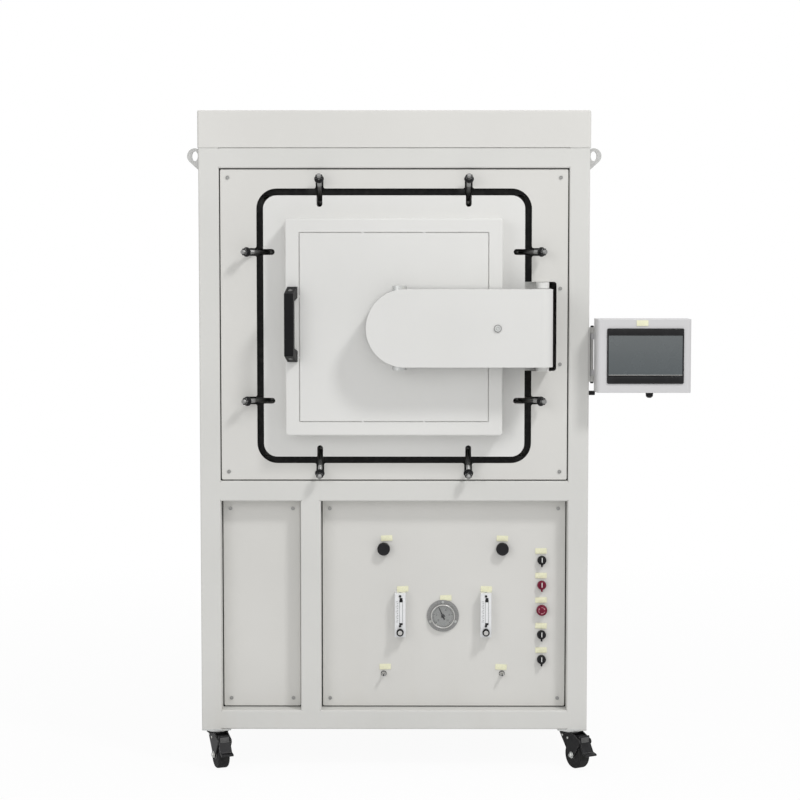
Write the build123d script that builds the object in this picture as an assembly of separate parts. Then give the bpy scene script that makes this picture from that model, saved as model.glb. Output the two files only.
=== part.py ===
from build123d import *
import os

# Vacuum chamber furnace in a steel cabinet on casters. The front faces -Y, the floor is z = 0, sizes
# are in millimetres. The solids are modelled about the middle of the cabinet's front face and moved
# at the end so that the origin is the middle of the whole object's footprint.

# Cabinet
cabinetWidth = 1050
cabinetDepth = 1150
casterHeight = 109
capHeight = 99
capOverhang = 2
tubeSize = 55
tubeWall = 3
tubeRadius = 4
sillHeight = 52.5
lowerLeftWidth = 216
sheet = 2
panelGap = 3
seatWidth = 22
seatThickness = 3
upperRecess = 6
lowerRecess = 44
sideRecess = 3
panelRadius = 4
panelRim = 8
edgeRound = 1.2
screwRadius = 5
screwInset = 17
louvreRows = 8
louvreEnds = 4.75
louvreLength = 300
louvreSpacing = 390
louvreDepth = 10

# Door and chamber, about one axis
doorHeight = 1208
roomAbove = 109
roomBelow = 48
roomBeside = 100
plateThickness = 30
plateFront = -6
plateRadius = 36
gapWidth = 19
flangeGap = 1.2
flangeThickness = 30
chamberInset = 46
chamberWall = 25
roomBehind = 330
chamberRadius = 40
liningWall = 60
plugGap = 6
cavityRadius = 12
plugDepth = 52
plugClearance = 15
sealInset = 9
sealWidth = 8
sealDepth = 6
sealProud = 0.9
elementRadius = 7
elementGap = 8
elementRows = 5
elementMargin = 60
hearthMargin = 50
hearthThickness = 12
hearthRail = 20
hearthSetback = 60
boxInset = 62
boxDepth = 60
boxRadius = 8
insetMargin = 39
insetGap = 3
insetDepth = 5

# Swing bolts: the share is of the door plate's half width, from its middle
boltShare = 0.5698
boltInset = 15.5
boltRadius = 6
boltLength = 134
eyeRadius = 13
eyeWidth = 14
nutAcross = 19
nutHeight = 11
nutPlace = 115
washerRadius = 13
washerThickness = 2.5
slotClearance = 2
pivotClearance = 0.05
lugGap = 0.5
lugThickness = 8
lugReach = 31
pivotBehindFlange = 17
releasedAngle = 31
slotDepth = 30.5
notchWidth = 21
notchReach = 35
notchRadius = 8
notchFlare = 5

# Arm that carries the door
hingeMargin = 47
hingeY = -25
armHalf = 102
armLeft = -73
armEnd = 20
armFront = -158
armBack = -76
armCorner = 30
hoodWidth = 46
hoodBack = -38
beamHalf = 32
armScrewRadius = 8
armScrewHead = 4
armScrewMargin = 126
pinX = 15
pinY = -112
doorPinRadius = 19
doorPinReach = 111
hingePinRadius = 9
barrelRadius = 17
forkOffset = 72
forkThickness = 12
webThickness = 10
blockWidth = 84
blockFront = 30
thrustClearance = 0.3
hingeLugThickness = 16
lugClearance = 1
hingeNotchHalf = 120
hingeNotchEnd = 19

# Handle on the door
handleLength = 200
handleWidth = 25
handleReach = 50
handleBar = 15
handleFoot = 9
handleSlope = 18
handleLeg = 28
handleLean = 9.5
handleMargin = 20
handleRise = 8

# Touch screen
screenWidth = 252
screenHeight = 196
screenDepth = 90
screenDrop = 76
screenOffset = 3.5
screenKnuckle = 6.5
screenHingeGap = 2.8
screenGap = 4.2
knuckleHeight = 16
knuckleGap = 0.5
glandRadius = 8
glandPlace = 146
glandReach = 10
screenFront = -75
screenRadius = 12
bezelWidth = 204
bezelHeight = 147
bezelProud = 3
bezelBorder = 18
bezelBand = 20
glassRadius = 1
screenPinY = 18
screenPinRadius = 4

# Control panel: shares of its height from the bottom and of its width from the middle
valveLevel = 0.7646
switchLevel = 0.7097
switchStep = 0.11945
gaugeLevel = 0.4412
flowLevel = 0.3461
nozzleLevel = 0.1622
valveShare = 0.24215
flowShare = 0.1749
controlShift = 2.5
switchMargin = 67
valveRadius = 17.5
flowHeight = 121
flowWidth = 30
flowDepth = 28
flowKnobRadius = 10
flowKnobDepth = 14
flowBore = 5
valveDepth = 16
valveCollarRadius = 12.25
flowKnobMargin = 4
knobGap = 0.5
spindleRadius = 3
gaugeFlange = 44
gaugeRadius = 30
gaugeDepth = 14
gaugePlate = 3
gaugeRim = 3
needleSpindle = 1.5
needleWidth = 3
needleTip = 0.8
needleGap = 3
needleAngle = 25
nozzleRadius = 7
switchRadius = 12
mushroomRadius = 15
mushroomDepth = 9
stemRadius = 7
stopTravel = 5
collarThickness = 4
selectorDepth = 16
selectorWidth = 6
nozzlePipe = 4
nozzleReach = 24
nozzleHex = 6

# Casters
wheelRadius = 37.5
wheelWidth = 30
casterPlate = 79
casterPlateThickness = 4
casterRace = 30
casterRaceThickness = 6
casterOffset = 30
forkWall = 3
forkClearance = 2
casterInset = 40
casterTurns = [21.5, 31, -160, 150]
axleRadius = 4
kingPinRadius = 6
yokeThickness = 4
swivelGap = 0.3
pedalPin = 2.5
pedalY = -60
pedalZ = 78
pedalTop = 13
pedalDrop = 28
pedalForward = 20
pedalLip = 14
pedalBar = 3

# Lifting eyes and rear fittings
eyeReach = 32
eyeDrop = 1
eyeHeight = 57
eyeBar = 6
eyeRing = 21
eyeY = 30
portRadius = 50
portWall = 3
portReach = 60
portFlangeRadius = 65
portFlangeThickness = 12
waterRadius = 6
waterReach = 35
waterWall = 2
waterMargin = 85
waterGap = 1

sideX = cabinetWidth / 2
postInner = sideX - tubeSize
openingHalf = postInner - roomBeside
plateHalf = openingHalf - gapWidth
boltSpacing = 2 * boltShare * plateHalf
frameTop = doorHeight + openingHalf + roomAbove
midRailTop = doorHeight - openingHalf - roomBelow
middlePostLeft = lowerLeftWidth - postInner
plateBack = plateFront + plateThickness
flangeFront = plateBack + flangeGap
flangeBack = flangeFront + flangeThickness
pivotY = flangeBack + pivotBehindFlange
liningFront = plateBack + plugDepth + plugGap
chamberHalf = plateHalf - chamberInset
chamberDepth = cabinetDepth - roomBehind
sealHalf = chamberHalf - sealInset
slotWidth = 2 * (boltRadius + slotClearance)
innerHalf = chamberHalf - chamberWall
cavityHalf = innerHalf - liningWall
elementPitch = 2 * (cavityHalf - elementMargin) / (elementRows - 1)
hearthHalf = cavityHalf - hearthMargin
chamberBack = flangeFront + chamberDepth
boxHalf = plateHalf - boxInset
boxFront = plateFront - boxDepth
insetHalf = boxHalf - insetMargin
handleX = handleMargin - boxHalf
handleZ = doorHeight + handleRise
hingeX = plateHalf + hingeMargin
armRight = hingeX + armEnd
hoodLeft = armRight - hoodWidth
armScrewX = hingeX - armScrewMargin
hingeNotchRight = armRight + hingeNotchEnd
screenPinX = sideX + screenKnuckle + screenHingeGap
screenLeft = screenPinX + screenGap
screenZ = doorHeight - screenDrop
eyeTop = frameTop - eyeDrop
eyeBottom = eyeTop - eyeHeight
waterSpread = chamberHalf - waterMargin

controlFace = lowerRecess
sillTop = casterHeight + sillHeight
midBottom = midRailTop - tubeSize
lowerHeight = midBottom - sillTop
louvrePitch = lowerHeight / (louvreRows + louvreEnds)
controlLeft = middlePostLeft + tubeSize
controlWidth = postInner - controlLeft
controlMiddle = (controlLeft + postInner) / 2 - controlShift
valveSpread = valveShare * controlWidth
flowSpread = flowShare * controlWidth
valveZ = sillTop + valveLevel * lowerHeight
gaugeZ = sillTop + gaugeLevel * lowerHeight
flowBottom = sillTop + flowLevel * lowerHeight
nozzleZ = sillTop + nozzleLevel * lowerHeight
switchX = postInner - switchMargin
switchTop = sillTop + switchLevel * lowerHeight
switchPitch = switchStep * lowerHeight
flowKnobZ = flowBottom + flowKnobRadius + flowKnobMargin
reachLeft = sideX + eyeReach
reachRight = screenLeft + screenWidth
reachFront = max(armScrewHead - armFront, handleReach - boxFront)
reachBack = cabinetDepth + portReach
shiftX = (reachLeft - reachRight) / 2
shiftY = (reachFront - reachBack) / 2


def save(name, pieces):
    placed = [Pos(shiftX, shiftY, 0) * piece for piece in pieces]
    solids = [solid for piece in placed for solid in piece.solids()]
    export_step(solids[0] if len(solids) == 1 else Compound(children=solids), f"parts/{name}.step")


def block(x0, x1, y0, y1, z0, z1):
    return Pos((x0 + x1) / 2, (y0 + y1) / 2, (z0 + z1) / 2) * Box(x1 - x0, y1 - y0, z1 - z0)


def fromFront(outline, yFront, yBack, x=0, z=0):
    """Extrude an outline drawn as it is seen from the front."""
    face = Plane(origin=(x, yBack, z), x_dir=(1, 0, 0), z_dir=(0, -1, 0))
    return extrude(face * outline, amount=yBack - yFront)


def fromTop(outline, zBottom, zTop, x=0, y=0):
    return extrude(Plane(origin=(x, y, zBottom)) * outline, amount=zTop - zBottom)


def alongX(radius, length, x, y, z):
    return Pos(x, y, z) * Rot(0, 90, 0) * Cylinder(radius, length)


def alongY(radius, yFront, yBack, x, z):
    return Pos(x, (yFront + yBack) / 2, z) * Rot(90, 0, 0) * Cylinder(radius, yBack - yFront)


def upright(radius, zBottom, zTop, x, y):
    return Pos(x, y, (zBottom + zTop) / 2) * Cylinder(radius, zTop - zBottom)


def tube(width, height, length):
    """A hollow rectangular tube along Z, from its middle."""
    outer = RectangleRounded(width, height, tubeRadius)
    inner = RectangleRounded(width - 2 * tubeWall, height - 2 * tubeWall, tubeRadius - tubeWall + 0.5)
    return Pos(0, 0, -length / 2) * extrude(outer - inner, amount=length)


def railX(x0, x1, y, z, height=tubeSize):
    return Pos((x0 + x1) / 2, y, z) * Rot(0, 90, 0) * tube(height, tubeSize, x1 - x0)


def railY(x, y0, y1, z, height=tubeSize):
    return Pos(x, (y0 + y1) / 2, z) * Rot(90, 0, 0) * tube(tubeSize, height, y1 - y0)


def ring(half, radius, holeHalf, holeRadius):
    return RectangleRounded(2 * half, 2 * half, radius) - RectangleRounded(
        2 * holeHalf, 2 * holeHalf, holeRadius)


def makeFrame():
    y0, y1 = tubeSize / 2, cabinetDepth - tubeSize / 2
    corners = [(side * (sideX - tubeSize / 2), y) for side in (-1, 1) for y in (y0, y1)]
    posts = [Pos(x, y, (casterHeight + frameTop) / 2) * tube(tubeSize, tubeSize, frameTop - casterHeight)
             for x, y in corners]
    topZ, midZ, sillZ = frameTop - tubeSize / 2, midRailTop - tubeSize / 2, sillTop - sillHeight / 2
    rails = []
    for y in (y0, y1):
        rails += [railX(-postInner, postInner, y, topZ), railX(-postInner, postInner, y, midZ),
                  railX(-postInner, postInner, y, sillZ, sillHeight)]
    for side in (-1, 1):
        x = side * (sideX - tubeSize / 2)
        rails += [railY(x, tubeSize, cabinetDepth - tubeSize, topZ),
                  railY(x, tubeSize, cabinetDepth - tubeSize, midZ),
                  railY(x, tubeSize, cabinetDepth - tubeSize, sillZ, sillHeight)]
    middlePost = Pos(middlePostLeft + tubeSize / 2, y0, (sillTop + midBottom) / 2) * tube(
        tubeSize, tubeSize, midBottom - sillTop)
    cradle = [block(-postInner, postInner, y, y + tubeSize, midRailTop - tubeSize, doorHeight - chamberHalf)
              - block(-postInner, postInner, y + tubeWall, y + tubeSize - tubeWall,
                      midRailTop - tubeSize + tubeWall, doorHeight - chamberHalf - tubeWall)
              for y in (flangeBack + 2 * tubeSize, chamberBack - 3 * tubeSize)]
    seats = []
    for x0, x1, z0, z1, face in panelOpenings():
        back = face + panelRim
        for left, right in ((x0, x0 + seatWidth), (x1 - seatWidth, x1)):
            seats.append(block(left, right, back, back + seatThickness, z0, z1))
        for low, high in ((z0, z0 + seatWidth), (z1 - seatWidth, z1)):
            seats.append(block(x0 + seatWidth, x1 - seatWidth, back, back + seatThickness, low, high))
    return posts + rails + [middlePost] + cradle + seats


def panelOpenings():
    """The frame's front openings as left, right, bottom, top and how far back the panel's face lies."""
    return [(-postInner, postInner, midRailTop, frameTop - tubeSize, upperRecess),
            (-postInner, middlePostLeft, sillTop, midBottom, lowerRecess),
            (controlLeft, postInner, sillTop, midBottom, lowerRecess)]


def makePanel(opening):
    """A sheet panel with a rim turned back all round."""
    x0, x1, z0, z1, face = opening
    width, height, x, z = x1 - x0 - 2 * panelGap, z1 - z0 - 2 * panelGap, (x0 + x1) / 2, (z0 + z1) / 2
    panel = fromFront(RectangleRounded(width, height, panelRadius), face, face + panelRim, x, z)
    panel = fillet(panel.faces().sort_by(Axis.Y)[0].edges(), edgeRound)
    inside = RectangleRounded(width - 2 * sheet, height - 2 * sheet, panelRadius - sheet)
    return panel - fromFront(inside, face + sheet, face + panelRim, x, z)


def boltPlaces():
    """Each swing bolt's place: its turn about the door's axis and its offset along that side."""
    return [(turn, side * boltSpacing / 2) for turn in (0, 90, 180, 270) for side in (-1, 1)]


def aboutDoor(turn, piece):
    """Turn a piece, drawn for the door's top side about the door's axis, to another side."""
    return Pos(0, 0, doorHeight) * Rot(0, turn, 0) * piece


def boltSlots(inner, outer, width):
    """Slots cut inwards from the edge of a plate for the swing bolts, as a sketch about the door's axis."""
    slot = Pos(0, (inner + outer + width / 2) / 2) * Rectangle(width, outer - inner - width / 2)
    slot += Pos(0, inner + width / 2) * Circle(width / 2)
    return [Rot(0, 0, -turn) * Pos(offset, 0) * slot for turn, offset in boltPlaces()]


def slottedPlate(half, radius, holeHalf=0, holeRadius=0):
    outline = RectangleRounded(2 * half, 2 * half, radius)
    if holeHalf:
        outline -= RectangleRounded(2 * holeHalf, 2 * holeHalf, holeRadius)
    for slot in boltSlots(plateHalf - slotDepth, plateHalf + gapWidth / 2, slotWidth):
        outline -= slot
    return outline


def makeUpperPanel():
    """The upper panel with the door's opening, a flared notch for each bolt and one for the arm's hinge."""
    panel = makePanel(panelOpenings()[0])
    hole = RectangleRounded(2 * openingHalf, 2 * openingHalf, plateRadius + gapWidth)
    for turn, offset in boltPlaces():
        hole += Rot(0, 0, -turn) * Pos(offset, openingHalf) * RectangleRounded(
            notchWidth, 2 * notchReach, notchRadius)
    mouths = [vertex for vertex in hole.vertices() if abs(max(abs(vertex.X), abs(vertex.Y)) - openingHalf) < 0.01
              and abs(min(abs(vertex.X), abs(vertex.Y)) - boltSpacing / 2) < notchWidth]
    hole = fillet(mouths, notchFlare)
    hole += Pos(hingeNotchRight / 2, 0) * RectangleRounded(hingeNotchRight, 2 * hingeNotchHalf,
                                                           2 * panelRadius)
    return panel - fromFront(hole, 0, tubeSize, 0, doorHeight)


def makeScrews():
    """Dome head screws that hold the front panels, as left, bottom and face of each."""
    heads = []
    for x0, x1, z0, z1, face in panelOpenings():
        for x in (x0 + screwInset, x1 - screwInset):
            for z in (z0 + screwInset, z1 - screwInset):
                heads.append((x, z, face))
    upper = panelOpenings()[0]
    for side in (-1, 1):
        heads.append((upper[1] - screwInset, doorHeight + side * armHalf, upper[4]))
    return [alongY(screwRadius, face - sheet, face, x, z) for x, z, face in heads]


def makeSidePanels():
    panels = []
    for side in (-1, 1):
        outer, inner = side * (sideX - sideRecess), side * (sideX - sideRecess - sheet)
        for z0, z1 in ((sillTop, midBottom), (midRailTop, frameTop - tubeSize)):
            panels.append(block(min(outer, inner), max(outer, inner), tubeSize,
                                cabinetDepth - tubeSize, z0, z1))
    return panels


def makeCap():
    width, depth = cabinetWidth + 2 * capOverhang, cabinetDepth + 2 * capOverhang
    shell = Pos(0, cabinetDepth / 2, frameTop + capHeight / 2) * Box(width, depth, capHeight)
    shell = fillet(shell.edges().filter_by(Axis.Z), tubeRadius + capOverhang)
    shell = fillet(shell.faces().sort_by(Axis.Z)[-1].edges(), tubeRadius)
    hollow = Pos(0, cabinetDepth / 2, frameTop + (capHeight - sheet) / 2) * Box(
        width - 2 * sheet - 2 * capOverhang, depth - 2 * sheet - 2 * capOverhang, capHeight - sheet)
    return shell - hollow


def makeBack():
    """The back panel with rows of pressed louvres below and the holes for the rear pipes."""
    face = cabinetDepth - sideRecess
    panel = block(-postInner, postInner, face - sheet, face, sillTop, midBottom)
    upper = block(-postInner, postInner, face - sheet, face, midRailTop, frameTop - tubeSize)
    for row in range(louvreRows):
        for column in range(2):
            x = (column - 0.5) * louvreSpacing
            z = sillTop + (row + 2) * louvrePitch
            hood = Pos(x, face, z) * Rot(0, 90, 0) * Cylinder(louvreDepth, louvreLength)
            hood -= block(-postInner, postInner, face - 2 * louvreDepth, face, sillTop, midBottom)
            hood -= block(-postInner, postInner, face, face + 2 * louvreDepth, z - louvreDepth, z)
            hollow = Pos(x, face, z) * Rot(0, 90, 0) * Cylinder(
                louvreDepth - sheet, louvreLength - 2 * sheet)
            panel = panel + hood - hollow
    for x, z, radius in rearHoles():
        upper -= alongY(radius, face - tubeSize, face + tubeSize, x, z)
    return [panel, upper]


def rearHoles():
    """The pipes that pass the back panel: where they are and how large their holes are."""
    pipes = [(0, doorHeight, portRadius + portWall + panelGap)]
    for x in (-waterSpread, waterSpread):
        for z in (doorHeight - chamberHalf / 2, doorHeight + chamberHalf / 2):
            pipes.append((x, z, waterRadius + waterWall + waterGap))
    return pipes


def makeChamber():
    innerRadius = chamberRadius - chamberWall
    body = fromFront(ring(chamberHalf, chamberRadius, innerHalf, innerRadius),
                     flangeFront, chamberBack, 0, doorHeight)
    body += fromFront(RectangleRounded(2 * chamberHalf, 2 * chamberHalf, chamberRadius),
                      chamberBack - chamberWall, chamberBack, 0, doorHeight)
    body += fromFront(slottedPlate(plateHalf, plateRadius, innerHalf, innerRadius),
                      flangeFront, flangeBack, 0, doorHeight)
    body -= alongY(portRadius + portWall, chamberBack - 2 * chamberWall, chamberBack + 1, 0, doorHeight)
    return body - makeSeal(0)


def makeSeal(proud):
    outline = ring(sealHalf + sealWidth / 2, plateRadius, sealHalf - sealWidth / 2,
                   plateRadius - sealWidth)
    return fromFront(outline, flangeFront - proud, flangeFront + sealDepth, 0, doorHeight)


def makeLining():
    back = chamberBack - chamberWall
    radius = chamberRadius - chamberWall
    walls = fromFront(ring(innerHalf, radius, cavityHalf, cavityRadius),
                      liningFront, back, 0, doorHeight)
    rear = fromFront(RectangleRounded(2 * innerHalf, 2 * innerHalf, radius),
                     back - liningWall, back, 0, doorHeight)
    passage = alongY(portRadius / 2, back - 2 * liningWall, back + 1, 0, doorHeight)
    return walls + rear - passage


def makeElements():
    rear = chamberBack - chamberWall - liningWall
    x = cavityHalf - elementRadius - elementGap
    return [alongY(elementRadius, liningFront + elementGap, rear, side * x,
                   doorHeight + (row - (elementRows - 1) / 2) * elementPitch)
            for side in (-1, 1) for row in range(elementRows)]


def makeHearth():
    floor = doorHeight - cavityHalf
    y0, y1 = liningFront + hearthSetback, chamberBack - chamberWall - liningWall - hearthSetback
    plate = block(-hearthHalf, hearthHalf, y0, y1, floor + hearthRail, floor + hearthRail + hearthThickness)
    rails = [block(side * hearthHalf / 2 - hearthRail / 2, side * hearthHalf / 2 + hearthRail / 2,
                   y0, y1, floor, floor + hearthRail) for side in (-1, 1)]
    return [plate] + rails


def makeLugs():
    """Clevises with pins behind the flange for the swing bolts, and the bracket and pin of the arm."""
    gap = eyeWidth / 2 + lugGap
    top = plateHalf - boltInset
    pieces = []
    for turn, offset in boltPlaces():
        ears = [block(offset + side * (gap + lugThickness / 2) - lugThickness / 2,
                      offset + side * (gap + lugThickness / 2) + lugThickness / 2,
                      flangeBack, flangeBack + lugReach, top - eyeRadius, top + eyeRadius)
                for side in (-1, 1)]
        pin = alongX(boltRadius, 2 * (gap + lugThickness), offset, pivotY, top)
        ears = [ear - pin for ear in ears]
        pieces += [aboutDoor(turn, piece) for piece in ears + [pin]]
    bracket = block(plateHalf, hingeX + barrelRadius, flangeFront, flangeBack,
                    doorHeight - hingeNotchHalf, doorHeight + hingeNotchHalf)
    pin = upright(hingePinRadius, doorHeight - lugTop(), doorHeight + lugTop(), hingeX, hingeY)
    for side in (-1, 1):
        z0, z1 = sorted((doorHeight + side * (armHalf + lugClearance), doorHeight + side * lugTop()))
        lug = fromTop(Circle(barrelRadius), z0, z1, hingeX, hingeY)
        lug += block(hingeX - barrelRadius, hingeX + barrelRadius, hingeY, flangeFront, z0, z1)
        bracket += lug
    pieces += [bracket - pin, pin]
    return pieces


def lugTop():
    return armHalf + lugClearance + hingeLugThickness


def makeSwingBolt(turn, offset):
    """A swing bolt with its washer and nut, released and leaning outwards."""
    top = plateHalf - boltInset
    bolt = alongX(eyeRadius, eyeWidth, 0, 0, 0) + alongY(boltRadius, -boltLength, -eyeRadius / 2, 0, 0)
    bolt -= alongX(boltRadius + pivotClearance, eyeWidth, 0, 0, 0)
    washer = alongY(washerRadius, -nutPlace, washerThickness - nutPlace, 0, 0)
    washer -= alongY(boltRadius, -nutPlace, washerThickness - nutPlace, 0, 0)
    nut = fromFront(RegularPolygon(nutAcross / 2, 6, major_radius=False) - Circle(boltRadius),
                    -nutPlace - nutHeight, -nutPlace)
    place = Pos(offset, pivotY, top) * Rot(-releasedAngle, 0, 0)
    return [aboutDoor(turn, place * piece) for piece in (bolt, washer, nut)]


def armOutline(inset):
    """The arm's outline from above, without its left end, set in from the cover's outside."""
    right, front = armRight - inset, armFront + inset
    left, hood = armLeft + inset, hoodLeft + inset
    outline = Polygon((left, front), (right, front), (right, hoodBack), (hood, hoodBack),
                      (hood, armBack), (left, armBack), align=None)
    corner = outline.vertices().sort_by(Axis.X)[-2:].sort_by(Axis.Y)[0]
    return fillet(corner, armCorner - inset)


def armBody(inset):
    """The arm's body: its outline from above, cut to a half round at the left end."""
    half = armHalf - inset
    solid = fromTop(armOutline(inset), doorHeight - half, doorHeight + half)
    face = Pos((armLeft + armHalf + armRight) / 2, 0) * Rectangle(armRight - armLeft - armHalf, 2 * half)
    face += Pos(armLeft + armHalf, 0) * Circle(half)
    return solid & fromFront(face, armFront - 1, hoodBack + 1, 0, doorHeight)


def makeArmCover():
    inner = armBody(sheet)
    inner += block(armLeft + armHalf, hoodLeft, armBack - 1, armBack + sheet,
                   doorHeight - armHalf + sheet, doorHeight + armHalf - sheet)
    shell = armBody(0) - inner
    shell -= alongY(armScrewRadius / 2, armFront - 1, armBack, armScrewX, doorHeight)
    return shell - upright(doorPinRadius, doorHeight - 2 * armHalf, doorHeight + 2 * armHalf, pinX, pinY)


def makeArmFrame():
    plan = Pos((pinX + armRight) / 2, pinY) * Rectangle(armRight - pinX, 2 * beamHalf)
    plan += Pos(pinX, pinY) * Circle(beamHalf)
    plan += Pos(hingeX, (pinY + hingeY) / 2) * Rectangle(2 * barrelRadius, hingeY - pinY)
    plan = plan & (armOutline(sheet) + Pos(hingeX, hingeY) * Rectangle(2 * barrelRadius, 4 * barrelRadius))
    solid = upright(barrelRadius, doorHeight - armHalf + sheet, doorHeight + armHalf - sheet,
                    hingeX, hingeY)
    for side in (-1, 1):
        middle = doorHeight + side * forkOffset
        solid += fromTop(plan, middle - forkThickness / 2, middle + forkThickness / 2)
    solid += block(pinX + blockWidth / 2 + webThickness, hingeX, pinY - beamHalf, pinY - beamHalf
                   + webThickness, doorHeight - forkOffset, doorHeight + forkOffset)
    solid -= upright(hingePinRadius + pivotClearance, doorHeight - armHalf, doorHeight + armHalf,
                     hingeX, hingeY)
    pin = upright(doorPinRadius, doorHeight - doorPinReach, doorHeight + doorPinReach, pinX, pinY)
    screw = alongY(armScrewRadius, armFront - armScrewHead, armFront, armScrewX, doorHeight)
    screw += alongY(armScrewRadius / 2, armFront, pinY - beamHalf, armScrewX, doorHeight)
    return [solid - pin, pin, screw]


def makePivotBlock():
    half = forkOffset - forkThickness / 2 - thrustClearance
    solid = block(pinX - blockWidth / 2, pinX + blockWidth / 2, pinY - blockFront, plateFront,
                  doorHeight - half, doorHeight + half)
    solid = fillet(solid.faces().sort_by(Axis.Y)[0].edges().filter_by(Axis.Z), blockFront - 2)
    return solid - upright(doorPinRadius + pivotClearance, doorHeight - armHalf, doorHeight + armHalf,
                           pinX, pinY)


def makeDoorBox():
    solid = fromFront(RectangleRounded(2 * boxHalf, 2 * boxHalf, boxRadius),
                      boxFront, plateFront, 0, doorHeight)
    solid = fillet(solid.faces().sort_by(Axis.Y)[0].edges(), boxRadius / 2)
    solid -= fromFront(Rectangle(2 * (boxHalf - sheet), 2 * (boxHalf - sheet)),
                       boxFront + sheet + insetDepth, plateFront, 0, doorHeight)
    groove = ring(insetHalf + insetGap, insetGap, insetHalf, insetGap / 2)
    solid -= fromFront(groove, boxFront, boxFront + insetDepth, 0, doorHeight)
    half = forkOffset - forkThickness / 2
    return solid - block(pinX - blockWidth / 2, pinX + blockWidth / 2, boxFront - 1, plateFront,
                         doorHeight - half, doorHeight + half)


def makeHandle():
    """A bridge handle whose bar leans to the left of its feet, cut flush with the door box."""
    outer, shoulder, inner = handleLength / 2, handleLength / 2 - handleSlope, handleLength / 2 - handleLeg
    side = Polygon((handleFoot, -outer), (-handleFoot, -outer), (-handleReach, -shoulder),
                   (-handleReach, shoulder), (-handleFoot, outer), (handleFoot, outer), align=None)
    side -= Polygon((handleFoot, -inner), (handleBar - handleReach, handleFoot - inner),
                    (handleBar - handleReach, inner - handleFoot), (handleFoot, inner), align=None)
    face = Plane(origin=(0, 0, 0), x_dir=(0, 1, 0), z_dir=(1, 0, 0))
    solid = extrude(face * fillet(side.vertices(), handleFoot / 3), amount=handleWidth / 2, both=True)
    solid = Pos(handleX, boxFront, handleZ) * Rot(0, 0, -handleLean) * solid
    return solid - block(-boxHalf - handleWidth, boxHalf, boxFront, plateFront, handleZ - outer, handleZ + outer)


def makePlug():
    half = innerHalf - plugClearance
    plug = fromFront(RectangleRounded(2 * half, 2 * half, chamberRadius - chamberWall),
                     plateBack, plateBack + plugDepth, 0, doorHeight)
    return chamfer(plug.faces().sort_by(Axis.Y)[-1].edges(), plugClearance / 2)


def makeScreenBox():
    solid = block(screenLeft, screenLeft + screenWidth, screenFront, screenFront + screenDepth,
                  screenZ - screenHeight / 2, screenZ + screenHeight / 2)
    solid = fillet(solid.edges().filter_by(Axis.Z), screenRadius)
    solid = fillet(solid.faces().sort_by(Axis.Y)[0].edges(), edgeRound)
    for side in (-1, 1):
        z = screenZ + side * screenHeight / 4
        knuckle = fromTop(Circle(screenKnuckle) - Circle(screenPinRadius + pivotClearance),
                          z - knuckleHeight / 2, z + knuckleHeight / 2, screenPinX, screenPinY)
        tab = block(screenPinX, screenLeft + screenRadius, screenPinY - screenKnuckle,
                    screenFront + screenDepth, z - knuckleHeight / 2, z + knuckleHeight / 2)
        tab -= upright(screenPinRadius + pivotClearance, z - knuckleHeight, z + knuckleHeight,
                       screenPinX, screenPinY)
        solid += knuckle + tab
    gland = upright(glandRadius, screenZ - screenHeight / 2 - glandReach, screenZ - screenHeight / 2,
                    screenLeft + glandPlace, screenFront + screenDepth / 2)
    return [solid + gland]


def makeBezel():
    x, y = screenLeft + screenWidth / 2, screenFront
    bezel = fromFront(RectangleRounded(bezelWidth, bezelHeight, panelRadius),
                      y - bezelProud, y, x + screenOffset, screenZ)
    glass = RectangleRounded(bezelWidth - 2 * bezelBorder, bezelHeight - 2 * bezelBand, glassRadius)
    return bezel - fromFront(glass, y - bezelProud, y - bezelProud / 2, x + screenOffset, screenZ)


def makeScreenBracket():
    reach = screenHeight / 4 + knuckleHeight / 2 + knuckleGap
    plate = block(sideX, sideX + sheet, sheet, tubeSize, screenZ - reach - knuckleHeight,
                  screenZ + reach + knuckleHeight)
    for side in (-1, 1):
        z0, z1 = sorted((screenZ + side * reach, screenZ + side * (reach + knuckleHeight)))
        lug = fromTop(Circle(screenKnuckle), z0, z1, screenPinX, screenPinY)
        lug += block(sideX, screenPinX, screenPinY - screenKnuckle, screenPinY + screenKnuckle, z0, z1)
        plate += lug
    behind = screenPinY + screenKnuckle + 1
    plate += block(sideX, screenPinX + sheet, behind, behind + sheet, screenZ - reach - knuckleHeight,
                   screenZ + reach + knuckleHeight)
    pin = upright(screenPinRadius, screenZ - reach - knuckleHeight, screenZ + reach + knuckleHeight,
                  screenPinX, screenPinY)
    return [plate - pin, pin]


def makeGauge():
    flange = alongY(gaugeFlange, controlFace - gaugePlate, controlFace, controlMiddle, gaugeZ)
    rim = alongY(gaugeRadius + gaugeRim, controlFace - gaugeDepth, controlFace, controlMiddle, gaugeZ)
    bore = alongY(gaugeRadius, controlFace - gaugeDepth, controlFace - gaugePlate, controlMiddle, gaugeZ)
    spindle = alongY(needleSpindle, controlFace - gaugeDepth / 2, controlFace - gaugePlate,
                     controlMiddle, gaugeZ)
    return flange + rim - bore + spindle


def makeGaugeGlass():
    return alongY(gaugeRadius, controlFace - gaugeDepth, controlFace - gaugeDepth + sheet,
                  controlMiddle, gaugeZ)


def makeNeedle():
    """The needle, pointing up and to the left as it rests."""
    front, back = controlFace - gaugeDepth / 2 - 1, controlFace - gaugePlate - 1
    wide, thin, tail, point = needleWidth / 2, needleTip / 2, -gaugeRadius / 3, gaugeRadius - needleGap
    pointer = Polygon((-wide, tail), (wide, tail), (thin, point), (-thin, point), align=None)
    needle = fromFront(Rot(0, 0, needleAngle) * pointer, front, front + 1, controlMiddle, gaugeZ)
    needle += alongY(3 * needleSpindle, front, back, controlMiddle, gaugeZ)
    return needle - alongY(needleSpindle + pivotClearance, front + 1, back, controlMiddle, gaugeZ)


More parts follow.
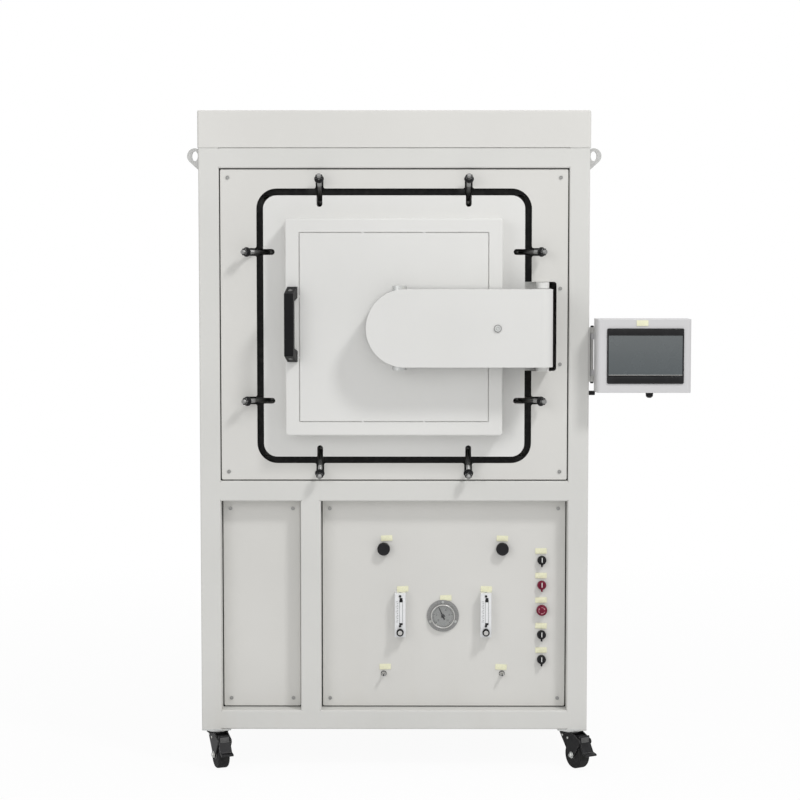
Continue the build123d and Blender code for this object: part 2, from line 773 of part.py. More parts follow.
def makeFlowBlocks():
    blocks = []
    for side in (-1, 1):
        x = controlMiddle + side * flowSpread
        body = block(x - flowWidth / 2, x + flowWidth / 2, controlFace - flowDepth, controlFace,
                     flowBottom, flowBottom + flowHeight)
        body = fillet(body.edges().filter_by(Axis.Z).group_by(Axis.Y)[0], 2)
        body -= upright(flowBore, flowKnobZ + flowKnobRadius, flowBottom + flowHeight,
                        x, controlFace - flowDepth / 2)
        blocks.append(body - alongY(spindleRadius + pivotClearance, controlFace - flowDepth,
                                    controlFace - flowDepth / 2, x, flowKnobZ))
    return blocks


def makeKnob(radius, length, face, x, z, seat):
    """A round knob in front of a face, with a spindle that runs back into its seat."""
    knob = alongY(radius, face - knobGap - length, face - knobGap, x, z)
    knob = fillet(knob.faces().sort_by(Axis.Y)[0].edges(), radius / 6)
    return knob + alongY(spindleRadius, face - knobGap, face + seat, x, z)


def switchPlaces():
    return [switchTop - row * switchPitch for row in range(5)]


def collarFace():
    return controlFace - collarThickness


def makeControlPanel():
    """The lower right panel with the holes that the switches' and valves' stems run into."""
    panel = makePanel(panelOpenings()[2])
    for row, z in enumerate(switchPlaces()):
        radius = stemRadius if row == 2 else spindleRadius
        panel -= alongY(radius + knobGap, controlFace - 1, controlFace + sheet, switchX, z)
    for side in (-1, 1):
        panel -= alongY(spindleRadius + knobGap, controlFace - 1, controlFace + sheet,
                        controlMiddle + side * valveSpread, valveZ)
    return panel


def makeCollars():
    collars = []
    for row, z in enumerate(switchPlaces()):
        bore = stemRadius if row == 2 else spindleRadius
        collars.append(alongY(switchRadius, collarFace(), controlFace, switchX, z)
                       - alongY(bore + pivotClearance, collarFace(), controlFace, switchX, z))
    for side in (-1, 1):
        x = controlMiddle + side * valveSpread
        collars.append(alongY(valveCollarRadius, collarFace(), controlFace, x, valveZ)
                       - alongY(spindleRadius + pivotClearance, collarFace(), controlFace, x, valveZ))
    return collars


def makeSelector(row):
    z, face = switchPlaces()[row], collarFace()
    knob = makeKnob(switchRadius - 2, selectorDepth / 2, face, switchX, z, collarThickness)
    lever = Pos(0, selectorWidth - switchRadius) * RectangleRounded(selectorWidth, 2 * switchRadius, 1.5)
    knob += fromFront(lever, face - knobGap - selectorDepth, face - knobGap, switchX, z - 2)
    return knob


def makeStopButton():
    z, face = switchPlaces()[2], collarFace()
    front = face - knobGap - stopTravel
    cap = alongY(mushroomRadius, front - mushroomDepth, front, switchX, z)
    cap = fillet(cap.faces().sort_by(Axis.Y)[0].edges(), mushroomDepth / 2.5)
    return cap + alongY(stemRadius, front, controlFace - knobGap, switchX, z)


def makePipeFittings():
    """Front gas nozzles, the rear vacuum port and the rear cooling water stubs."""
    pieces = []
    for side in (-1, 1):
        x = controlMiddle + side * valveSpread
        nozzle = fromFront(RegularPolygon(nozzleRadius, 6), controlFace - nozzleHex, controlFace, x, nozzleZ)
        pieces.append(nozzle + alongY(nozzlePipe, controlFace - nozzleReach, controlFace, x, nozzleZ))
    end = cabinetDepth + portReach
    port = alongY(portRadius + portWall, chamberBack - chamberWall, end, 0, doorHeight)
    port += alongY(portFlangeRadius, end - portFlangeThickness, end, 0, doorHeight)
    pieces.append(port - alongY(portRadius, chamberBack - chamberWall, end, 0, doorHeight))
    for x, z, radius in rearHoles()[1:]:
        stub = alongY(waterRadius, cabinetDepth, cabinetDepth + waterReach, x, z)
        stub += alongY(waterRadius + waterWall, chamberBack, cabinetDepth, x, z)
        pieces.append(stub - alongY(waterRadius - waterWall, cabinetDepth, cabinetDepth + waterReach, x, z))
    return pieces


def makeEyes():
    """Forged lifting eyes on the cabinet's sides, flat towards the front."""
    outline = make_hull((Circle(eyeRing).edges() + (Pos(-eyeRing / 2, eyeBottom - eyeTop + eyeRing + eyeBar)
                                                     * Circle(eyeBar)).edges()))
    outline -= Pos(0, 0) * Ellipse(eyeRing / 2.6, eyeRing / 1.6)
    eyes = []
    for side in (-1, 1):
        shape = outline if side > 0 else mirror(outline, Plane.YZ)
        eye = fromFront(shape, eyeY - eyeBar, eyeY + eyeBar, side * (sideX + eyeReach - eyeRing),
                        eyeTop - eyeRing)
        eyes.append(eye - block(-sideX, sideX, 0, tubeSize, 0, frameTop))
    return eyes


def casterPlaces():
    near, far = casterInset, cabinetDepth - casterInset
    x = sideX - casterPlate / 2
    return [(-x, near), (x, near), (-x, far), (x, far)]


def makeCasterPlates():
    pieces = []
    for x, y in casterPlaces():
        plate = fromTop(RectangleRounded(casterPlate, casterPlate, panelRadius),
                        casterHeight - casterPlateThickness, casterHeight, x, y)
        plate += upright(casterRace, raceBottom(), casterHeight - casterPlateThickness, x, y)
        pin = upright(kingPinRadius, yokeTop() - yokeThickness - 2, casterHeight, x, y)
        pieces.append(plate + pin)
    return pieces


def raceBottom():
    return casterHeight - casterPlateThickness - casterRaceThickness


def yokeTop():
    return raceBottom() - swivelGap


def turned(place, piece):
    x, y = casterPlaces()[place]
    return Pos(x, y, 0) * Rot(0, 0, casterTurns[place]) * piece


def sideOutline(*rounds):
    """The hull of circles given as place along Y, height and radius, seen from the side."""
    edges = [edge for y, z, radius in rounds for edge in (Pos(y, z) * Circle(radius)).edges()]
    return make_hull(edges)


def fromSide(outline, x0, x1):
    face = Plane(origin=(x0, 0, 0), x_dir=(0, 1, 0), z_dir=(1, 0, 0))
    return extrude(face * outline, amount=x1 - x0)


def makeYoke(place):
    """A caster's fork, its axle and, on the front ones, the pin of the brake pedal."""
    top, inner = yokeTop(), wheelWidth / 2 + forkClearance
    pieces = []
    fork = upright(casterRace, top - yokeThickness, top, 0, 0)
    rounds = [(-casterOffset, wheelRadius, 2.5 * axleRadius), (casterRace - 2, top - yokeThickness / 2, 2),
              (2 - casterRace, top - yokeThickness / 2, 2)]
    if place < 2:
        rounds.append((pedalY, pedalZ, 2 * axleRadius))
    outline = sideOutline(*rounds)
    for side in (-1, 1):
        x0, x1 = sorted((side * inner, side * (inner + forkWall)))
        fork += fromSide(outline, x0, x1)
    axle = alongX(axleRadius, 2 * (inner + forkWall + axleRadius), 0, -casterOffset, wheelRadius)
    fork -= axle
    pieces = [fork - upright(kingPinRadius + pivotClearance, 0, casterHeight, 0, 0), axle]
    if place < 2:
        pin = alongX(pedalPin, 2 * (inner + forkWall), 0, pedalY, pedalZ)
        pieces = [pieces[0] - pin, axle, pin]
    return [turned(place, piece) for piece in pieces]


def makeWheel(place):
    wheel = alongX(wheelRadius, wheelWidth, 0, -casterOffset, wheelRadius)
    wheel = fillet(wheel.edges().filter_by(GeomType.CIRCLE), wheelWidth / 6)
    wheel += alongX(2 * axleRadius, wheelWidth + forkClearance, 0, -casterOffset, wheelRadius)
    wheel -= alongX(axleRadius + pivotClearance, 2 * wheelWidth, 0, -casterOffset, wheelRadius)
    return turned(place, wheel)


def makePedal(place):
    half = wheelWidth / 2 + forkClearance - knobGap
    foot = pedalY - pedalForward, pedalZ - pedalDrop
    outlines = [sideOutline((pedalY, pedalZ, 2 * pedalPin), (pedalY, pedalZ + pedalTop, pedalBar)),
                sideOutline((pedalY, pedalZ, 2 * pedalPin), (*foot, pedalBar)),
                sideOutline((*foot, pedalBar), (foot[0] - pedalLip, foot[1] - pedalBar, pedalBar))]
    pedal = sum((fromSide(outline, -half, half) for outline in outlines[1:]), fromSide(outlines[0], -half, half))
    pedal -= alongX(pedalPin + pivotClearance, 4 * half, 0, pedalY, pedalZ)
    return turned(place, pedal)


os.makedirs("parts", exist_ok=True)
pieces = {
    "frame_tubes": makeFrame(),
    "top_cover": [makeCap()],
    "upper_front_panel": [makeUpperPanel()],
    "lower_left_panel": [makePanel(panelOpenings()[1])],
    "control_panel": [makeControlPanel()],
    "side_panels": makeSidePanels(),
    "back_panels": makeBack(),
    "chamber_shell": [makeChamber()],
    "chamber_lining": [makeLining()],
    "heating_elements": makeElements(),
    "hearth_plate": makeHearth(),
    "door_seal": [makeSeal(sealProud)],
    "flange_lugs": makeLugs(),
    "lifting_eyes": makeEyes(),
    "caster_plates": makeCasterPlates(),
    "screen_bracket": makeScreenBracket(),
    "gauge_case": [makeGauge()],
    "gauge_glass": [makeGaugeGlass()],
    "flowmeter_blocks": makeFlowBlocks(),
    "switch_collars": makeCollars(),
    "pipe_fittings": makePipeFittings(),
    "panel_screws": makeScrews(),
    "arm_frame": makeArmFrame(),
    "arm_cover": [makeArmCover()],
    "door_plate": [fromFront(slottedPlate(plateHalf, plateRadius), plateFront, plateBack, 0, doorHeight)],
    "door_box": [makeDoorBox()],
    "door_handle": [makeHandle()],
    "door_plug": [makePlug()],
    "door_pivot_block": [makePivotBlock()],
    "gauge_needle": [makeNeedle()],
    "screen_box": makeScreenBox(),
    "screen_bezel": [makeBezel()],
    "stop_button": [makeStopButton()],
}
boltNames = ["top_left", "top_right", "right_upper", "right_lower",
             "bottom_right", "bottom_left", "left_lower", "left_upper"]
for name, (turn, offset) in zip(boltNames, boltPlaces()):
    pieces[f"swing_bolt_{name}"] = makeSwingBolt(turn, offset)
casterNames = ["front_left", "front_right", "rear_left", "rear_right"]
for place, name in enumerate(casterNames):
    pieces[f"caster_fork_{name}"] = makeYoke(place)
    pieces[f"caster_wheel_{name}"] = [makeWheel(place)]
for place, name in enumerate(casterNames[:2]):
    pieces[f"brake_pedal_{name}"] = [makePedal(place)]
for row, name in ((0, "top"), (1, "red"), (3, "lower"), (4, "bottom")):
    pieces[f"selector_{name}"] = [makeSelector(row)]
for side, name in ((-1, "left"), (1, "right")):
    x = controlMiddle + side * valveSpread
    pieces[f"valve_knob_{name}"] = [makeKnob(valveRadius, valveDepth, collarFace(), x, valveZ,
                                             collarThickness)]
    x = controlMiddle + side * flowSpread
    pieces[f"flow_knob_{name}"] = [makeKnob(flowKnobRadius, flowKnobDepth, controlFace - flowDepth, x,
                                            flowKnobZ, flowDepth / 2)]
for name, solids in pieces.items():
    save(name, solids)
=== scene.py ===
import math
import bmesh
import bpy
from mathutils import Matrix, Vector


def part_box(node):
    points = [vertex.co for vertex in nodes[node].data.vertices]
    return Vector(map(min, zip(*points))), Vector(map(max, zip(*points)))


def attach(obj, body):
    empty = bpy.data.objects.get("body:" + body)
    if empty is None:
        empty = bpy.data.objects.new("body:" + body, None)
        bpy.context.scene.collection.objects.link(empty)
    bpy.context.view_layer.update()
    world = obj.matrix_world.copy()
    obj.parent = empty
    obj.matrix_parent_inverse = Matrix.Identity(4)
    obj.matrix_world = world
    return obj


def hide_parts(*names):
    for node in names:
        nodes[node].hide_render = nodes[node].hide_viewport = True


# Vacuum chamber furnace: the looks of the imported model. Lengths in the dictionaries are millimetres
# from the cabinet's middle, its front face and the floor. at() turns them into the model's frame.

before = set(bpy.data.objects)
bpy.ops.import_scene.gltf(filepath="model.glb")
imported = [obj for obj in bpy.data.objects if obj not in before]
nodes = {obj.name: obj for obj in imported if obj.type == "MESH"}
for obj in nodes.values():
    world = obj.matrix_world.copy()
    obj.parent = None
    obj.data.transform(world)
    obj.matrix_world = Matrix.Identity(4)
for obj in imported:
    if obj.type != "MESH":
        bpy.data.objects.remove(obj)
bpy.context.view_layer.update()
scene = bpy.context.scene
frameLow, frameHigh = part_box("frame_tubes")
middle = (frameLow.x + frameHigh.x) / 2
front = frameLow.y
mm = 0.001


def at(x, y, z):
    return Vector((middle + x * mm, front + y * mm, z * mm))


# Camera, light and floor
cameraView = {
    "place": (37, -5525, 1398),
    "pitch": 4.02,  # degrees below level
    "turn": 0.22,  # degrees towards the left
    "focalPixels": 2053,
    "picturePixels": 800,
    "sensor": 36,
}
studio = {
    "sky": 0.55,  # strength of the even light
    "target": (0, 0, 1100),
    "lamps": (  # name, place, size in metres, power
        ("keyLamp", (2500, -2800, 4900), 0.8, 112),
        ("frontLamp", (500, -4800, 3000), 1.6, 12),
        ("fillLamp", (-2600, -3600, 2300), 2.4, 30),
    ),
    "floorSize": 60,
    "floorColour": (0.86, 0.86, 0.86, 1),
    "floorWhite": 0.95,  # share of plain white near the object; the rest shows the shadow
    "floorGlossy": 0.6,  # the same in reflections
    "floorNear": 1.0,  # metres from the middle, where the share starts to rise
    "floorFar": 3.5,  # and where all is white
}


def makeCamera():
    data = bpy.data.cameras.new("camera")
    camera = bpy.data.objects.new("camera", data)
    scene.collection.objects.link(camera)
    data.sensor_width = cameraView["sensor"]
    data.lens = cameraView["focalPixels"] / cameraView["picturePixels"] * cameraView["sensor"]
    camera.location = at(*cameraView["place"])
    camera.rotation_euler = (math.radians(90 - cameraView["pitch"]), 0, math.radians(cameraView["turn"]))
    data.clip_end = 200
    scene.camera = camera


def makeLamp(name, place, size, power):
    data = bpy.data.lights.new(name, "AREA")
    data.shape = "SQUARE"
    data.size = size
    data.energy = power
    lamp = bpy.data.objects.new(name, data)
    scene.collection.objects.link(lamp)
    lamp.location = at(*place)
    aim = at(*studio["target"]) - lamp.location
    lamp.rotation_euler = aim.to_track_quat("-Z", "Y").to_euler()
    lamp.visible_camera = False


scene.view_settings.view_transform = "Standard"
makeCamera()
for lampValues in studio["lamps"]:
    makeLamp(*lampValues)
print("camera and lamps set")

# Shading


def signalMaths(operation, swapped=False):
    def combine(self, other):
        first, second = (other, self) if swapped else (self, other)
        return self.maths(operation, first, second)
    return combine


class Signal:  # one socket, so that patterns can be written as plain sums
    def __init__(self, finish, socket):
        self.finish = finish
        self.socket = socket

    def maths(self, operation, first, second):
        return self.finish.node("ShaderNodeMath", {"operation": operation}, {0: first, 1: second})

    __add__, __radd__ = signalMaths("ADD"), signalMaths("ADD", True)
    __sub__, __rsub__ = signalMaths("SUBTRACT"), signalMaths("SUBTRACT", True)
    __mul__, __rmul__ = signalMaths("MULTIPLY"), signalMaths("MULTIPLY", True)


class Finish:  # one material, or the world, and the nodes it is made of
    def __init__(self, name, owner=None):
        self.material = owner or bpy.data.materials.new(name)
        self.material.use_nodes = True
        self.tree = self.material.node_tree
        self.tree.nodes.clear()
        self.place = self.node("ShaderNodeTexCoord", {}, {}, "Object")

    def node(self, kind, settings, values, output=0):
        made = self.tree.nodes.new(kind)
        for key, value in settings.items():
            setattr(made, key, value)
        for key, value in values.items():
            if isinstance(value, Signal):
                self.tree.links.new(value.socket, made.inputs[key])
            else:
                made.inputs[key].default_value = value
        return Signal(self, made.outputs[output]) if made.outputs else None

    def stretched(self, x, y, z):
        return self.node("ShaderNodeMapping", {}, {"Vector": self.place, "Scale": (x, y, z)})

    def noise(self, scale, detail=2.0, place=None):
        values = {"Vector": place or self.place, "Scale": scale, "Detail": detail}
        return self.node("ShaderNodeTexNoise", {}, values)

    def cells(self, scale, output="Color", place=None):
        return self.node("ShaderNodeTexVoronoi", {}, {"Vector": place or self.place, "Scale": scale}, output)

    def between(self, signal, low, high, start=0.0, end=1.0):  # low..high to start..end, clamped
        values = {"Value": signal, "From Min": low, "From Max": high, "To Min": start, "To Max": end}
        return self.node("ShaderNodeMapRange", {}, values)

    def mixed(self, factor, first, second):
        return self.node("ShaderNodeMix", {"data_type": "RGBA"}, {0: factor, 6: first, 7: second}, 2)

    def part(self, signal, axis):
        return self.node("ShaderNodeSeparateXYZ", {}, {0: signal}, axis)

    def edges(self, radius, tightness=0.04):  # 1 along edges, where the materials mix in a painted highlight
        rounded = self.node("ShaderNodeBevel", {"samples": 4}, {"Radius": radius})
        flat = self.node("ShaderNodeNewGeometry", {}, {}, "Normal")
        dot = self.node("ShaderNodeVectorMath", {"operation": "DOT_PRODUCT"}, {0: rounded, 1: flat}, "Value")
        return self.between(1 - dot, 0.0, tightness)

    def bumped(self, height, distance, strength=1.0):
        return self.node("ShaderNodeBump", {}, {"Height": height, "Distance": distance, "Strength": strength})

    def surface(self, **values):
        named = {key.replace("_", " ").title().replace("Ior", "IOR"): value for key, value in values.items()}
        shader = self.node("ShaderNodeBsdfPrincipled", {}, named)
        self.node("ShaderNodeOutputMaterial", {}, {"Surface": shader})
        return self.material


def shade(colour, amount):
    return tuple(min(1.0, part * amount) for part in colour[:3]) + (1,)


coats = {
    "frame": {"colour": (0.665, 0.662, 0.638, 1), "roughness": 0.46, "peel": 0.30},
    "panel": {"colour": (0.680, 0.672, 0.645, 1), "roughness": 0.42, "peel": 0.24},
    "door": {"colour": (0.730, 0.728, 0.710, 1), "roughness": 0.34, "peel": 0.16},
    "screenBox": {"colour": (0.628, 0.625, 0.632, 1), "roughness": 0.40, "peel": 0.24},
    "dustTint": (0.560, 0.530, 0.470, 1),
    "dustHeight": 0.42,  # metres above the floor
    "peelScale": 520,
}
metals = {
    "stainless": (0.56, 0.555, 0.54, 1),
    "zinc": (0.60, 0.61, 0.60, 1),
    "chamber": (0.42, 0.42, 0.415, 1),
    "blackOxide": (0.010, 0.010, 0.011, 1),
    "screw": (0.34, 0.34, 0.33, 1),
    "bolt": (0.30, 0.30, 0.295, 1),
}
moulded = {
    "black": (0.010, 0.010, 0.011, 1),
    "handle": (0.0045, 0.0045, 0.0055, 1),
    "red": (0.17, 0.008, 0.030, 1),
    "rubber": (0.016, 0.016, 0.017, 1),
    "seal": (0.018, 0.018, 0.018, 1),
    "shine": 0.22,  # specular level, low because the studio is white all round
}


def powderCoat(name, coat, highlightShare=1.0):
    finish = Finish(name)
    colour = coat["colour"]
    height = finish.part(finish.place, 2)
    clouds = finish.noise(2.2, 3.0)
    tone = finish.mixed(finish.between(clouds, 0.3, 0.7), shade(colour, 0.965), shade(colour, 1.03))
    specks = finish.between(finish.noise(900.0, 1.0), 0.62, 0.72)
    tone = finish.mixed(specks * 0.05, tone, shade(colour, 0.72))
    streaks = finish.between(finish.noise(9.0, 4.0, finish.stretched(1.0, 1.0, 0.16)), 0.5, 0.72)
    low = finish.between(height, 0.1, coats["dustHeight"], 1.0, 0.12)
    tone = finish.mixed(streaks * low * 0.22, tone, coats["dustTint"])
    # painted highlight: the coat is lighter along its edges, in patches, where light would catch the rounded
    # edges
    edgeMask = finish.edges(0.0016)
    paintedEdgeHighlight = edgeMask * finish.between(finish.noise(46.0, 3.0), 0.42, 0.62, 0.15, 0.6) * highlightShare
    tone = finish.mixed(paintedEdgeHighlight, tone, shade(colour, 1.16))
    peel = finish.noise(coats["peelScale"], 2.0)
    fine = finish.noise(coats["peelScale"] * 4, 1.0)
    scratch = finish.between(finish.noise(30.0, 1.0, finish.stretched(14.0, 14.0, 0.7)), 0.735, 0.78)
    cloudy = finish.noise(14.0, 4.0) * 0.10 - 0.05
    roughness = coat["roughness"] + cloudy + streaks * low * 0.12 - paintedEdgeHighlight * 0.08
    bump = finish.bumped(peel + fine * 0.25 - scratch * 0.35, 0.00016, coat["peel"])
    return finish.surface(base_color=tone, roughness=roughness + scratch * 0.05, normal=bump)


def brushedSteel(name, colour, roughness=0.30):  # the grain runs along Y
    finish = Finish(name)
    grain = finish.noise(22.0, 5.0, finish.stretched(60.0, 1.4, 60.0))
    clouds = finish.noise(12.0, 3.0)
    tone = finish.mixed(finish.between(grain, 0.3, 0.7), shade(colour, 0.82), shade(colour, 1.12))
    tone = finish.mixed(finish.between(clouds, 0.52, 0.75) * 0.25, tone, shade(colour, 0.70))
    # painted highlight: the steel is lighter along its edges
    edgeMask = finish.edges(0.0010)
    tone = finish.mixed(edgeMask * 0.4, tone, shade(colour, 1.35))
    return finish.surface(base_color=tone, metallic=1.0, normal=finish.bumped(grain, 0.00006, 0.5),
                          roughness=roughness + grain * 0.14 - edgeMask * 0.06 + clouds * 0.08)


def zincPlate(name, colour):
    finish = Finish(name)
    warped = finish.node("ShaderNodeVectorMath", {"operation": "ADD"},
                         {0: finish.place, 1: finish.node("ShaderNodeTexNoise", {}, {
                             "Vector": finish.place, "Scale": 60.0}, "Color")})
    flakes = finish.part(finish.cells(70.0, "Color", warped), 0)
    stain = finish.between(finish.noise(30.0, 4.0), 0.5, 0.75)
    tone = finish.mixed(flakes, shade(colour, 0.80), shade(colour, 1.10))
    tone = finish.mixed(stain * 0.35, tone, (0.50, 0.46, 0.36, 1))
    # painted highlight: the plating is lighter along its edges
    edgeMask = finish.edges(0.0009)
    tone = finish.mixed(edgeMask * 0.5, tone, shade(colour, 1.3))
    return finish.surface(base_color=tone, metallic=0.92, normal=finish.bumped(flakes, 0.00004, 0.35),
                          roughness=0.34 + flakes * 0.16 + stain * 0.14 - edgeMask * 0.10)


def blackenedSteel(name, colour):
    finish = Finish(name)
    mottle = finish.noise(90.0, 4.0)
    tone = finish.mixed(finish.between(mottle, 0.35, 0.7), shade(colour, 0.7), shade(colour, 2.0))
    # lighter edges in patches: partly bare-steel wear, partly a painted highlight
    edgeMask = finish.edges(0.0008)
    tone = finish.mixed(edgeMask * finish.between(finish.noise(300.0), 0.4, 0.6), tone, (0.22, 0.22, 0.215, 1))
    return finish.surface(base_color=tone, metallic=0.2, normal=finish.bumped(mottle, 0.00005, 0.5),
                          specular_ior_level=moulded["shine"], roughness=0.40 + mottle * 0.18 - edgeMask * 0.12)


def grainedPlastic(name, colour, grainScale, depth, roughness, shine=moulded["shine"]):
    finish = Finish(name)
    grain = finish.cells(grainScale, "Distance")
    smudge = finish.noise(35.0, 4.0)
    tone = finish.mixed(finish.between(smudge, 0.35, 0.7), shade(colour, 0.85), shade(colour, 1.25))
    # painted highlight: the plastic is much lighter along its edges
    edgeMask = finish.edges(0.0008)
    tone = finish.mixed(edgeMask * 0.35, tone, shade(colour, 2.4))
    return finish.surface(base_color=tone, normal=finish.bumped(grain, depth, 0.6),
                          specular_ior_level=shine, roughness=roughness + smudge * 0.12 - edgeMask * 0.08)


def rubber(name, colour):
    finish = Finish(name)
    dust = finish.between(finish.noise(60.0, 5.0), 0.45, 0.75)
    tone = finish.mixed(dust * 0.3, colour, (0.09, 0.088, 0.082, 1))
    return finish.surface(base_color=tone, normal=finish.bumped(finish.noise(700.0, 3.0), 0.00012, 0.6),
                          specular_ior_level=moulded["shine"], roughness=0.72 + dust * 0.16)


def fibreBoard(name, colour):
    finish = Finish(name)
    strands = finish.noise(120.0, 6.0, finish.stretched(1.0, 3.0, 1.6))
    pits = finish.between(finish.cells(240.0, "Distance"), 0.0, 0.22)
    blotch = finish.between(finish.noise(7.0, 4.0), 0.45, 0.7)
    tone = finish.mixed(strands, shade(colour, 0.88), shade(colour, 1.06))
    tone = finish.mixed(blotch * 0.3, tone, (0.66, 0.58, 0.45, 1))
    tone = finish.mixed((1 - pits) * 0.35, tone, shade(colour, 0.6))
    return finish.surface(base_color=tone, normal=finish.bumped(strands + pits * 0.5, 0.0009, 0.7),
                          roughness=0.88 + strands * 0.08)


def firedCeramic(name, colour):
    finish = Finish(name)
    grains = finish.cells(420.0, "Distance")
    scorch = finish.between(finish.noise(11.0, 4.0), 0.45, 0.75)
    tone = finish.mixed(scorch * 0.45, colour, (0.42, 0.35, 0.27, 1))
    tone = finish.mixed(finish.between(grains, 0.05, 0.3, 0.35, 0.0), tone, shade(colour, 0.55))
    return finish.surface(base_color=tone, normal=finish.bumped(grains, 0.00025, 0.6),
                          roughness=0.70 + scorch * 0.15)


def heatingRod(name):
    finish = Finish(name)
    crystals = finish.cells(650.0, "Color")
    sparkle = finish.part(crystals, 1)
    bands = finish.noise(26.0, 2.0, finish.stretched(1.0, 1.0, 0.4))
    tone = finish.mixed(sparkle, (0.045, 0.047, 0.050, 1), (0.19, 0.19, 0.195, 1))
    tone = finish.mixed(finish.between(bands, 0.5, 0.7) * 0.5, tone, (0.20, 0.16, 0.12, 1))
    return finish.surface(base_color=tone, metallic=0.35, roughness=0.5 + sparkle * 0.25,
                          normal=finish.bumped(sparkle, 0.00018, 0.7))


def whiteAcrylic(name, tint):  # clear blocks backed with white, read as milky
    finish = Finish(name)
    haze = finish.between(finish.noise(55.0, 4.0), 0.45, 0.75)
    tone = finish.mixed(haze * 0.4, tint, shade(tint, 0.90))
    # painted highlight: the blocks' edges are mixed towards white
    edgeMask = finish.edges(0.0012)
    tone = finish.mixed(edgeMask * 0.7, tone, (0.95, 0.96, 0.97, 1))
    waves = finish.bumped(finish.noise(40.0), 0.00004, 0.3)
    return finish.surface(base_color=tone, transmission_weight=0.12, ior=1.49, coat_weight=0.6,
                          roughness=0.12 + haze * 0.08, normal=waves)


def clearGlass(name, tint, roughness):
    finish = Finish(name)
    haze = finish.between(finish.noise(55.0, 4.0), 0.45, 0.75)
    return finish.surface(base_color=finish.mixed(haze * 0.3, tint, shade(tint, 0.94)), ior=1.49,
                          transmission_weight=1.0, roughness=roughness + haze * 0.06,
                          normal=finish.bumped(finish.noise(40.0), 0.00004, 0.3))


def glossyBlack(name, colour):
    finish = Finish(name)
    smudge = finish.between(finish.noise(45.0, 5.0), 0.5, 0.8)
    fine = finish.noise(1400.0, 1.0)
    return finish.surface(base_color=finish.mixed(smudge, colour, shade(colour, 1.6)),
                          specular_ior_level=moulded["shine"], roughness=0.16 + smudge * 0.16,
                          normal=finish.bumped(fine, 0.00002, 0.25))


def castGrey(name, colour):
    finish = Finish(name)
    speckle = finish.noise(420.0, 4.0)
    # painted highlight: the casting is lighter along its edges
    edgeMask = finish.edges(0.0008)
    tone = finish.mixed(finish.between(speckle, 0.35, 0.65), shade(colour, 0.78), shade(colour, 1.15))
    tone = finish.mixed(edgeMask * 0.5, tone, shade(colour, 1.6))
    return finish.surface(base_color=tone, metallic=0.6, roughness=0.38 + speckle * 0.2,
                          normal=finish.bumped(speckle, 0.00010, 0.6))


def paint(material, *names):
    for name in names:
        for slot in nodes[name].material_slots:
            slot.material = material


look = {
    "frame": powderCoat("framePowderCoat", coats["frame"]),
    # the welds get no painted edge highlight
    "weld": powderCoat("groundWeldCoat", coats["frame"], 0.0),
    "panel": powderCoat("panelPowderCoat", coats["panel"]),
    # the door's enamel gets 1.8 times the painted edge highlight
    "door": powderCoat("doorEnamel", coats["door"], 1.8),
    "screenBox": powderCoat("screenBoxCoat", coats["screenBox"]),
    "stainless": brushedSteel("turnedStainless", metals["stainless"], 0.24),
    "zinc": zincPlate("zincPlate", metals["zinc"]),
    "screw": brushedSteel("screwSteel", metals["screw"], 0.26),
    "bolt": brushedSteel("boltSteel", metals["bolt"], 0.42),
    "chamber": brushedSteel("groundChamberSteel", metals["chamber"], 0.36),
    "blackOxide": blackenedSteel("blackOxide", metals["blackOxide"]),
    "black": grainedPlastic("blackPlastic", moulded["black"], 900.0, 0.00010, 0.40),
    "grey": grainedPlastic("greyPlastic", (0.10, 0.10, 0.10, 1), 700.0, 0.00014, 0.50),
    "handle": grainedPlastic("grainedHandle", moulded["handle"], 620.0, 0.00012, 0.30, 0.12),
    "red": grainedPlastic("redPlastic", moulded["red"], 900.0, 0.00006, 0.32),
    "rubber": rubber("wheelRubber", moulded["rubber"]),
    "seal": rubber("doorSeal", moulded["seal"]),
    "lining": fibreBoard("fibreBoard", (0.80, 0.77, 0.70, 1)),
    "hearth": firedCeramic("firedCeramic", (0.66, 0.62, 0.53, 1)),
    "rods": heatingRod("heatingRods"),
    "acrylic": whiteAcrylic("clearAcrylic", (0.90, 0.91, 0.92, 1)),
    "glass": clearGlass("gaugeGlass", (0.98, 0.99, 0.99, 1), 0.03),
    "bezel": glossyBlack("bezelGloss", (0.012, 0.012, 0.013, 1)),
    "gauge": castGrey("gaugeCasting", (0.30, 0.30, 0.295, 1)),
    "forged": castGrey("forgedEyes", (0.52, 0.52, 0.51, 1)),
}

finishes = {
    "frame": ["frame_tubes", "screen_bracket"],
    "panel": ["top_cover", "upper_front_panel", "lower_left_panel", "control_panel", "side_panels",
              "back_panels"],
    "door": ["arm_cover", "door_plate", "door_box", "flange_lugs"],
    "screenBox": ["screen_box"],
    "stainless": ["pipe_fittings"],
    "zinc": ["caster_plates", "panel_screws", "arm_frame", "door_pivot_block"],
    "chamber": ["chamber_shell"],
    "blackOxide": ["gauge_needle"],
    "forged": ["lifting_eyes"],
    "black": ["switch_collars", "selector_top", "selector_lower", "selector_bottom", "valve_knob_left",
              "valve_knob_right", "flow_knob_left", "flow_knob_right"],
    "handle": ["door_handle"],
    "red": ["stop_button", "selector_red"],
    "seal": ["door_seal"],
    "lining": ["chamber_lining", "door_plug"],
    "hearth": ["hearth_plate"],
    "rods": ["heating_elements"],
    "acrylic": ["flowmeter_blocks"],
    "glass": ["gauge_glass"],
    "bezel": ["screen_bezel"],
    "gauge": ["gauge_case"],
}
corners = ("front_left", "front_right", "rear_left", "rear_right")
boltNames = ("top_left", "top_right", "right_upper", "right_lower", "bottom_right", "bottom_left",
             "left_lower", "left_upper")
for key, names in finishes.items():
    paint(look[key], *names)
paint(look["blackOxide"], *["caster_fork_" + corner for corner in corners])
paint(look["blackOxide"], *["brake_pedal_" + corner for corner in corners[:2]])
paint(look["rubber"], *["caster_wheel_" + corner for corner in corners])
paint(look["zinc"], *["swing_bolt_" + name for name in boltNames])
print("materials made:", len(look))


